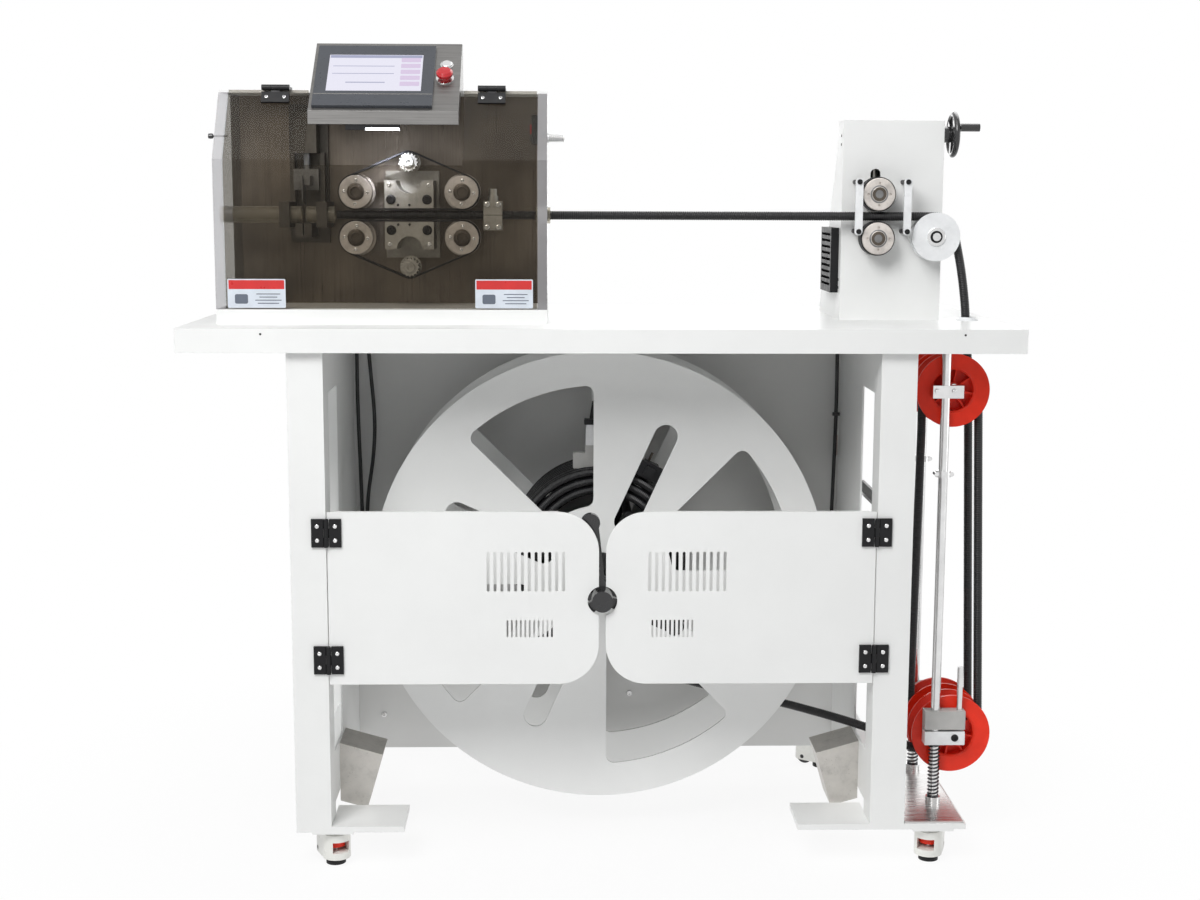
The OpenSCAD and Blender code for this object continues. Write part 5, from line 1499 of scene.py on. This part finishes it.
@dataclass
class HeadDetails:
    """The feed wheels, the belts and the small parts round them, and those on the end plates."""

    feed_x: float = -331.0
    tube_z: float = 1112.0
    wheel_span: float = 182.0
    wheel_offset: float = 39.0
    wheel_face: float = -120.0
    platen_face: float = -115.0
    platen_low: float = 11.6
    drive_offset: float = 89.5
    belt_radius: float = 27.8
    belt_thick: float = 3.0
    belt_front: float = -116.0
    belt_back: float = -94.0
    drive_radius: float = 17.0
    bolt_circle: float = 20.2
    bolt_angle: float = 4.0
    nut_face: float = -118.8
    nut_x: Spot = (-197.0, -177.5)
    nut_z: Spot = (1130.5, 1091.5)
    latch_place: Vec = (-648.9, -60.0, 1246.0)
    gland_place: Vec = (-93.1, -60.0, 1245.0)
    gland_ridges: int = 8
    gland_pitch: float = 3.2
    teeth: int = 16

    def build(self) -> None:
        """Builds the wheels, the belts, the screws, the drive pulleys and the fittings."""
        self.build_wheels()
        self.build_belts()
        self.build_bolts()
        self.build_platens()
        self.build_pulleys()
        self.build_clamp()
        self.build_fittings()

    def wheels(self) -> Iterator[tuple[str, float, float]]:
        """The name, the X and the Z of each feed wheel."""
        for up, height in (("upper", 1), ("lower", -1)):
            for across, side in (("left", -1), ("right", 1)):
                x = self.feed_x + side * self.wheel_span / 2
                yield f"feed_wheel_{up}_{across}", x, self.tube_z + height * self.wheel_offset

    def build_wheels(self) -> None:
        """The feed wheels: a narrow front flange, a wider rear one and a recessed hub."""
        profile = [
            (0.1, 0.0), (8.0, 0.0), (8.0, 12.4), (11.0, 12.4), (11.0, 76.0), (31.5, 76.0), (31.5, 79.0),
            (27.7, 79.0), (27.7, 103.0), (28.6, 103.0), (28.6, 105.2), (27.8, 106.0), (15.4, 106.0),
            (15.0, 105.2), (0.1, 105.2),
        ]
        hub = [
            (14.6, 104.9), (14.6, 106.6), (12.6, 107.0), (11.6, 109.6), (8.2, 110.0), (7.6, 107.0),
            (0.1, 107.0),
        ]
        for wheel, x, z in self.wheels():
            start = (x, float(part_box(wheel)[1][1]) / MM, z)
            turned = turned_shape(profile, start, FRONT, 48)
            piece = to_piece(f"{wheel}_turned", turned, ROLLER_METAL, wheel, angle=30.0)
            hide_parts(wheel)
            core = turned_shape(hub, start, FRONT, 32)
            to_piece(f"{wheel}_hub", core, HUB_METAL, wheel, angle=30.0)

    def build_belts(self) -> None:
        """The two flat belts, each drawn tight round two wheels and a drive pulley.

        At angle t the belt touches the circle that reaches furthest along (cos t, sin t), so its
        inner face is c + r (cos t, sin t) for that circle and the straight runs join the arcs.
        """
        t = round_angles(240)
        way = np.stack([np.cos(t), np.sin(t)], axis=1)
        half = self.wheel_span / 2
        bands = []
        for side in (1, -1):
            wheel = self.tube_z + side * self.wheel_offset
            drive = self.tube_z + side * self.drive_offset
            centres = np.array(
                [(self.feed_x - half, wheel), (self.feed_x + half, wheel), (self.feed_x, drive)]
            )
            radii = np.array([self.belt_radius, self.belt_radius, self.drive_radius + 0.1])
            furthest = np.argmax(way @ centres.T + radii, axis=1)
            loops = []
            for thick, y in (
                (0.0, self.belt_front), (0.0, self.belt_back), (self.belt_thick, self.belt_back),
                (self.belt_thick, self.belt_front), (0.0, self.belt_front),
            ):
                flat = centres[furthest] + way * (radii[furthest] + thick)[:, None]
                loops.append(np.stack([flat[:, 0], np.full(len(t), y), flat[:, 1]], axis=1))
            bands.append(grid_shape(np.stack(loops), wrap_columns=True))
        piece = to_piece("feed_belts_tight", Shape.joined(bands), RUBBER, Body.FRAME, angle=30.0)
        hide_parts("feed_belts")

    def build_bolts(self) -> None:
        """Four bolts on each feed wheel, on a circle round its shaft."""
        angles = np.radians(self.bolt_angle + 90.0 * np.arange(4))
        bolt = Head(2.9, 1.3, Recess.HEX, BRIGHT_STEEL)
        y, r = self.wheel_face + 0.2, self.bolt_circle
        for wheel, x, z in self.wheels():
            places = [(x + r * math.cos(a), y, z - r * math.sin(a)) for a in angles]
            bolt.add(f"{wheel}_bolts", places, body=wheel)

    def build_platens(self) -> None:
        """Two black cap screws with wide heads that paint in their counterbores' shade, two bright and two
        small black ones.
        """
        for name, spots, head in (
            # The black cap heads reach over the holes' rims: partly black screw heads, partly painted shade
            # of the counterbores.
            ("cap", ((-31.0, 14.5), (31.0, 14.5)), Head(8.4, 3.0, Recess.HEX, BLACK_STEEL)),
            ("corner", ((-34.0, 39.0), (34.0, 39.0)), Head(3.8, 1.4, Recess.CROSS, BRIGHT_STEEL)),
            ("edge", ((-19.0, 5.0), (0.5, 5.0)), Head(2.3, 0.8, Recess.PLAIN, BLACK_STEEL)),
        ):
            places = [
                (self.feed_x + x, self.platen_face + 0.2, self.tube_z + s * (self.platen_low + up))
                for x, up in spots
                for s in (-1, 1)
            ]
            head.add(f"platen_{name}_screws", places)

    def build_pulleys(self) -> None:
        """The two toothed drive pulleys: turned rows whose rim is r + a * clip(1.7 cos(n v), -1, 1)."""
        sides = self.teeth * 8
        wave = np.cos(self.teeth * round_angles(sides))
        rim = self.drive_radius - 1.3 + 1.3 * np.clip(1.7 * wave, -1.0, 1.0)
        for name, side in (("drive_pulley_upper", 1), ("drive_pulley_lower", -1)):
            end = -float(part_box(name)[1][1]) / MM
            rows = [
                (0.1, end), (8.0, end), (8.0, 26.4), (11.0, 26.4), (11.0, 91.0), (19.0, 91.0),
                (19.0, 93.0), (rim, 93.0), (rim, 116.4), (rim - 0.6, 117.0), (9.0, 117.0), (9.0, 121.4),
                (8.4, 122.0), (4.0, 122.0), (4.0, 118.0), (0.1, 118.0),
            ]
            place = (self.feed_x, 0.0, self.tube_z + side * self.drive_offset)
            shape = turned_shape(rows, place, FRONT, sides)
            piece = to_piece(f"{name}_toothed", shape, ALUMINIUM, name, angle=30.0)
            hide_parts(name)

    def build_clamp(self) -> None:
        """Bright nuts on the outlet clamp."""
        places = [(x, self.nut_face, z) for x in self.nut_x for z in self.nut_z]
        Head(5.0, 3.2, Recess.PLAIN, BRIGHT_STEEL).add("clamp_nuts", places)

    def build_fittings(self) -> None:
        """The latch on the left end plate, the gland on the right one and the switch inside it."""
        latch = [
            (0.1, 0.0), (1.6, 0.0), (1.6, 24.0), (4.2, 25.0), (4.8, 29.0), (4.2, 33.0), (0.1, 34.0),
        ]
        gland = [(0.1, 0.0), (8.0, 0.0), (8.0, 3.0)]
        for n in range(self.gland_ridges):
            up = self.gland_pitch * n
            gland += [(5.6, 4.2 + up), (7.2, 5.4 + up), (7.2, 6.2 + up)]
        gland += [(4.0, 30.0), (0.1, 30.2)]
        fitted = turned_shape(latch, self.latch_place, (-1.0, 0.0, 0.0), 20)
        to_piece("end_plate_latch", fitted, GLOSS_BLACK, Body.FRAME)
        fitted = turned_shape(gland, self.gland_place, (1.0, 0.0, 0.0), 24)
        to_piece("end_plate_gland", fitted, BRIGHT_STEEL, Body.FRAME)
        case = slabs(
            ((-121.0, -66.0, 1234.0), (-109.1, -52.0, 1284.0), 2.0, 0),
            ((-124.0, -62.0, 1239.0), (-120.5, -56.0, 1246.0), 1.5, 0),
        )
        to_piece("cover_switch", case, BLACK_PLASTIC, Body.FRAME, bevel=0.6)
        tab = slab_shape((-123.5, -64.0, 1252.0), (-120.8, -54.0, 1268.0), 1.0, 0)
        to_piece("cover_switch_tab", tab, STICKER_RED, Body.FRAME, 0.4)


@dataclass
class PullOffDetails:
    """Rings on the tower's rollers and washers on its guide pulley."""

    roller_x: float = 480.0
    roller_heights: tuple[tuple[str, float], ...] = (("upper_roller", 1150.0), ("lower_roller", 1074.0))
    roller_face: float = -122.0
    pulley: Vec = (582.0, -117.0, 1077.0)

    def build(self) -> None:
        """Turned rings that ride on the rollers and on the pulley."""
        ring = [(11.9, -0.4), (15.4, -0.4), (15.4, 0.6), (14.8, 1.0), (11.9, 1.0)]
        for roller, z in self.roller_heights:
            shape = turned_shape(ring, (self.roller_x, self.roller_face, z), FRONT, 40)
            to_piece(f"{roller}_bearing_ring", shape, DARK_ALUMINIUM, roller, angle=30.0)
        washer = [(11.0, -0.4), (16.0, -0.4), (16.0, 1.8), (15.2, 2.4), (11.0, 2.4)]
        clip = [(6.9, 1.8), (10.6, 1.8), (10.6, 3.0), (6.9, 3.0)]
        for name, profile, sides, finish in (
            ("pulley_washer", washer, 40, BRIGHT_STEEL),
            ("pulley_clip", clip, 32, BLACK_STEEL),
        ):
            shape = turned_shape(profile, self.pulley, FRONT, sides)
            to_piece(name, shape, finish, "guide_pulley", angle=30.0)


@dataclass
class CoilClamps:
    """The two clamps that hold the wound tube, seen through the front flange."""

    centre: Spot = (0.0, 508.0)
    reach: float = 160.0
    middle: float = -60.0
    angle: float = 62.0
    rod: tuple[Vec, Vec] = ((85.0, -60.0, 668.0), (95.0, -60.0, 690.0))
    screws: tuple[Vec, ...] = ((72.0, -73.2, 670.0), (88.0, -73.2, 663.0), (79.0, -73.2, 650.0))
    bracket_rod: tuple[Vec, Vec] = ((-14.0, -57.0, 748.0), (-9.0, -57.0, 782.0))

    def build(self) -> None:
        """A black block with bright screws and a rod, and a pale bracket with a dark rod."""
        a = math.radians(self.angle)
        way = np.array([(math.cos(a), 0.0, math.sin(a))])
        start = np.array([(self.reach * way[0, 0], self.middle, self.centre[1] + self.reach * way[0, 2])])
        block = slab_shape((-13.0, -13.0, -5.0), (13.0, 13.0, 22.0), 1.5, 2)
        to_piece("coil_clamp_block", block.copies(start, axes_towards(way)), BLACK_STEEL, Body.SPOOL)
        rod = tube_shape(np.array(self.rod), 2.2, 12)
        to_piece("coil_clamp_rod", rod, HUB_METAL, Body.SPOOL)
        screw = Head(2.8, 1.4, Recess.HEX, BRIGHT_STEEL)
        screw.add("coil_clamp_screws", self.screws, body=Body.SPOOL)
        bracket = slabs(
            ((-48.0, -66.0, 662.0), (-24.0, -48.0, 690.0), 2.0, 1),
            ((-26.0, -68.0, 664.0), (-5.0, -46.0, 704.0), 2.0, 1),
        )
        to_piece("coil_bracket", bracket, CLAMP_GREY, Body.SPOOL)
        pale = slab_shape((-25.0, -66.0, 703.0), (-5.0, -48.0, 742.0), 1.5, 1)
        to_piece("coil_bracket_block", pale, WHITE_PLASTIC, Body.SPOOL)
        cap = slab_shape((-28.0, -67.0, 741.0), (-5.0, -47.0, 751.0), 2.0, 1)
        rod = tube_shape(np.array(self.bracket_rod), 5.0, 14)
        to_piece("coil_bracket_rod", Shape.joined([cap, rod]), BLACK_STEEL, Body.SPOOL)


@dataclass
class WindowStrap:
    """The metal strap across the right side sheet's window, on its outer face."""

    face: float = 465.2
    ends: Spot = (-240.0, -95.0)
    heights: Spot = (628.0, 646.0)

    def build(self) -> None:
        """A strap with a thin lip under it."""
        low, high = self.heights
        start, end = self.ends
        strap = slab_shape((self.face, start, low), (self.face + 5.0, end, high), 2.0, 0)
        to_piece("window_strap", strap, DARK_ALUMINIUM, Body.FRAME)
        lip = slab_shape((self.face, start + 3.0, low - 6.5), (self.face + 3.0, end - 3.0, low - 0.8), 1.0, 0)
        to_piece("window_strap_lip", lip, BRIGHT_STEEL, Body.FRAME)


@dataclass
class BayCables:
    """Cables that hang in the spool bay, from the table to their glands."""

    y: float = 120.0
    radius: float = 3.5

    def build(self) -> None:
        """Smooth tubes through the source's own points, and the glands below them."""
        y = self.y
        routes = [
            [(-452, y, 927), (-452, y, 760), (-448, y, 600), (-446, y, 470), (-446, y, 428)],
            [(-436, y, 927), (-428, y, 830), (-421, y, 730), (-424, y, 660), (-436, y, 570),
             (-438, y, 480), (-438, y, 428)],
            [(452, y, 927), (453, y, 760), (450, y, 600), (446, y, 470), (446, y, 428)],
        ]
        tubes = [tube_shape(smooth_path(route), self.radius, 12) for route in routes]
        glands = []
        for x in (-442, 446):
            glands.append(slab_shape((x - 14, y - 12, 400), (x + 14, y + 12, 430), 3.0, 2))
            glands.append(slab_shape((x - 10, y + 11, 405), (x + 10, 145, 425), 1.0, 2))
        shape = Shape.joined([Shape(s.points, s.faces) for s in [*tubes, *glands]])
        piece = to_piece("bay_cable_set", shape, BLACK_PLASTIC, Body.FRAME, bevel=0.6)
        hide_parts("bay_cables")
        tie = slabs(
            ((446.0, y - 5.0, 734.0), (460.0, y + 5.0, 740.0), 3.0, 2),
            ((455.0, y - 8.0, 735.0), (459.0, y - 4.0, 739.0), 0.8, 2),
        )
        to_piece("cable_tie", tie, BLACK_PLASTIC, Body.FRAME)
        tag = slab_shape((455.4, y - 5.0, 658.0), (456.4, y + 9.0, 697.0), 1.5, 0)
        to_piece("cable_tag", tag, TAG_PINK, Body.FRAME)


@dataclass
class Nodes:
    """The finishes of the CAD nodes, with the zones that differ."""

    tube_y: float = -105.0
    table_hole: Spot = (648.0, -86.0)
    bushing: float = 19.2
    side_plates: Spot = (-641.0, -101.0)
    hinge_face: float = -285.1

    def zones(self) -> dict[str, list[tuple[Test, Finish]]]:
        """Lists the faces of each node that have a finish of their own.

        Returns:
            Tests on the faces' centres with their finishes, by node.
        """
        y0 = self.tube_y
        hole = self.table_hole

        def off_slope(foot: Spot, way: Spot, axis: int, low: float) -> Test:
            """Faces that stand off a sloping sheet, past a value along an axis."""
            out = np.array(way) / math.hypot(*way)
            return lambda p: ((p[:, 1:] - foot) @ out > 0.3) & (p[:, axis] > low)

        def plate_edge(p: Array) -> Array:
            """Faces between the two sides of a clear end plate."""
            return np.abs(p[:, :1] - self.side_plates).min(axis=1) < 7.9

        def hub(x: float, z: float) -> Test:
            """Faces at the front of the shaft at a place on the plate."""
            return lambda p: (np.hypot(p[:, 0] - x, p[:, 2] - z) < 11.9) & (p[:, 1] < y0 - 13.0)

        sleeve = (between(1, y0 - 12.5, y0 + 14.5), RUBBER)
        hinge_leaf = (between(1, high=self.hinge_face), BLACK_STEEL)
        return {
            "left_door": [hinge_leaf],
            "right_door": [hinge_leaf],
            "cover": [(off_slope((-129.0, 1322.0), (-118.0, 76.0), 2, 1290.0), BLACK_STEEL)],
            "hmi_box": [
                # The lamp bar under the console is black: partly its dark housing, partly painted shade under
                # the console's lip.
                (between(2, high=1261.8), BLACK_STEEL),
                (off_slope((-200.0, 1284.0), (-120.0, 135.0), 0, -284.0), BRIGHT_STEEL),
            ],
            "roller_guides": [(lambda p: (p[:, 1] > y0 - 20.9) | (p[:, 1] < y0 - 27.1), BLACK_STEEL)],
            "upper_roller": [sleeve, (hub(480.0, 1150.0), HUB_METAL)],
            "lower_roller": [sleeve, (hub(480.0, 1074.0), HUB_METAL)],
            "levelling_feet": [
                (lambda p: (p[:, 2] > 43.2) | (p[:, 2] < 30.8), BRIGHT_STEEL),
                (between(2, high=9.1), RUBBER),
            ],
            "guide_pulley": [(between(1, high=y0 - 12.1), BRIGHT_STEEL)],
            "head_side_plates": [(plate_edge, CLEAR_EDGE)],
            "head_housing": [
                (lambda p: (p[:, 2] > 955.2) & (p[:, 1] < -13.9) & (p[:, 1] > -26.5), PLATE_STEEL)
            ],
            "tabletop": [
                (lambda p: np.linalg.norm(p[:, :2] - hole, axis=1) < self.bushing, WHITE_PLASTIC)
            ],
            "accumulator_stand": [(between(2, high=79.2), BASE_STEEL)],
            "carriage": [
                (between(2, high=212.1), WHITE_PLASTIC),
                (between(2, 249.5), BRIGHT_STEEL),
            ],
        }

    def build(self) -> None:
        """Dresses every node."""
        zones = self.zones()
        special = {
            "carriage": CLAMP_GREY,
            "cutter_frame": CUTTER_STEEL,
            "cutter_blade": DARK_ALUMINIUM,
            "estop_button": ESTOP_RED,
            "vent_grille": BLACK_STEEL,
            "guide_tubes": CLEAR_TUBE,
            "upper_roller": ROLLER_METAL,
            "lower_roller": ROLLER_METAL,
        }
        for part in frame["record"]["subparts"]:
            node = part["node"]
            finish = special.get(node, NODE_FINISH[part["material_slot"]])
            dress(node, finish, zones.get(node, ()))


def main() -> None:
    """Builds the scene."""
    logging.basicConfig(level=logging.INFO, format="%(message)s")
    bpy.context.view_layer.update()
    for assembly in (
        Camera(), TubeLine(), BayCables(), Studio(), Nodes(), Springs(), Fasteners(), Stickers(),
        Console(), HeadDetails(), PullOffDetails(), CoilClamps(), WindowStrap(),
    ):
        assembly.build()
    bpy.context.scene.view_settings.view_transform = "Standard"


if __name__ == "__main__":
    main()
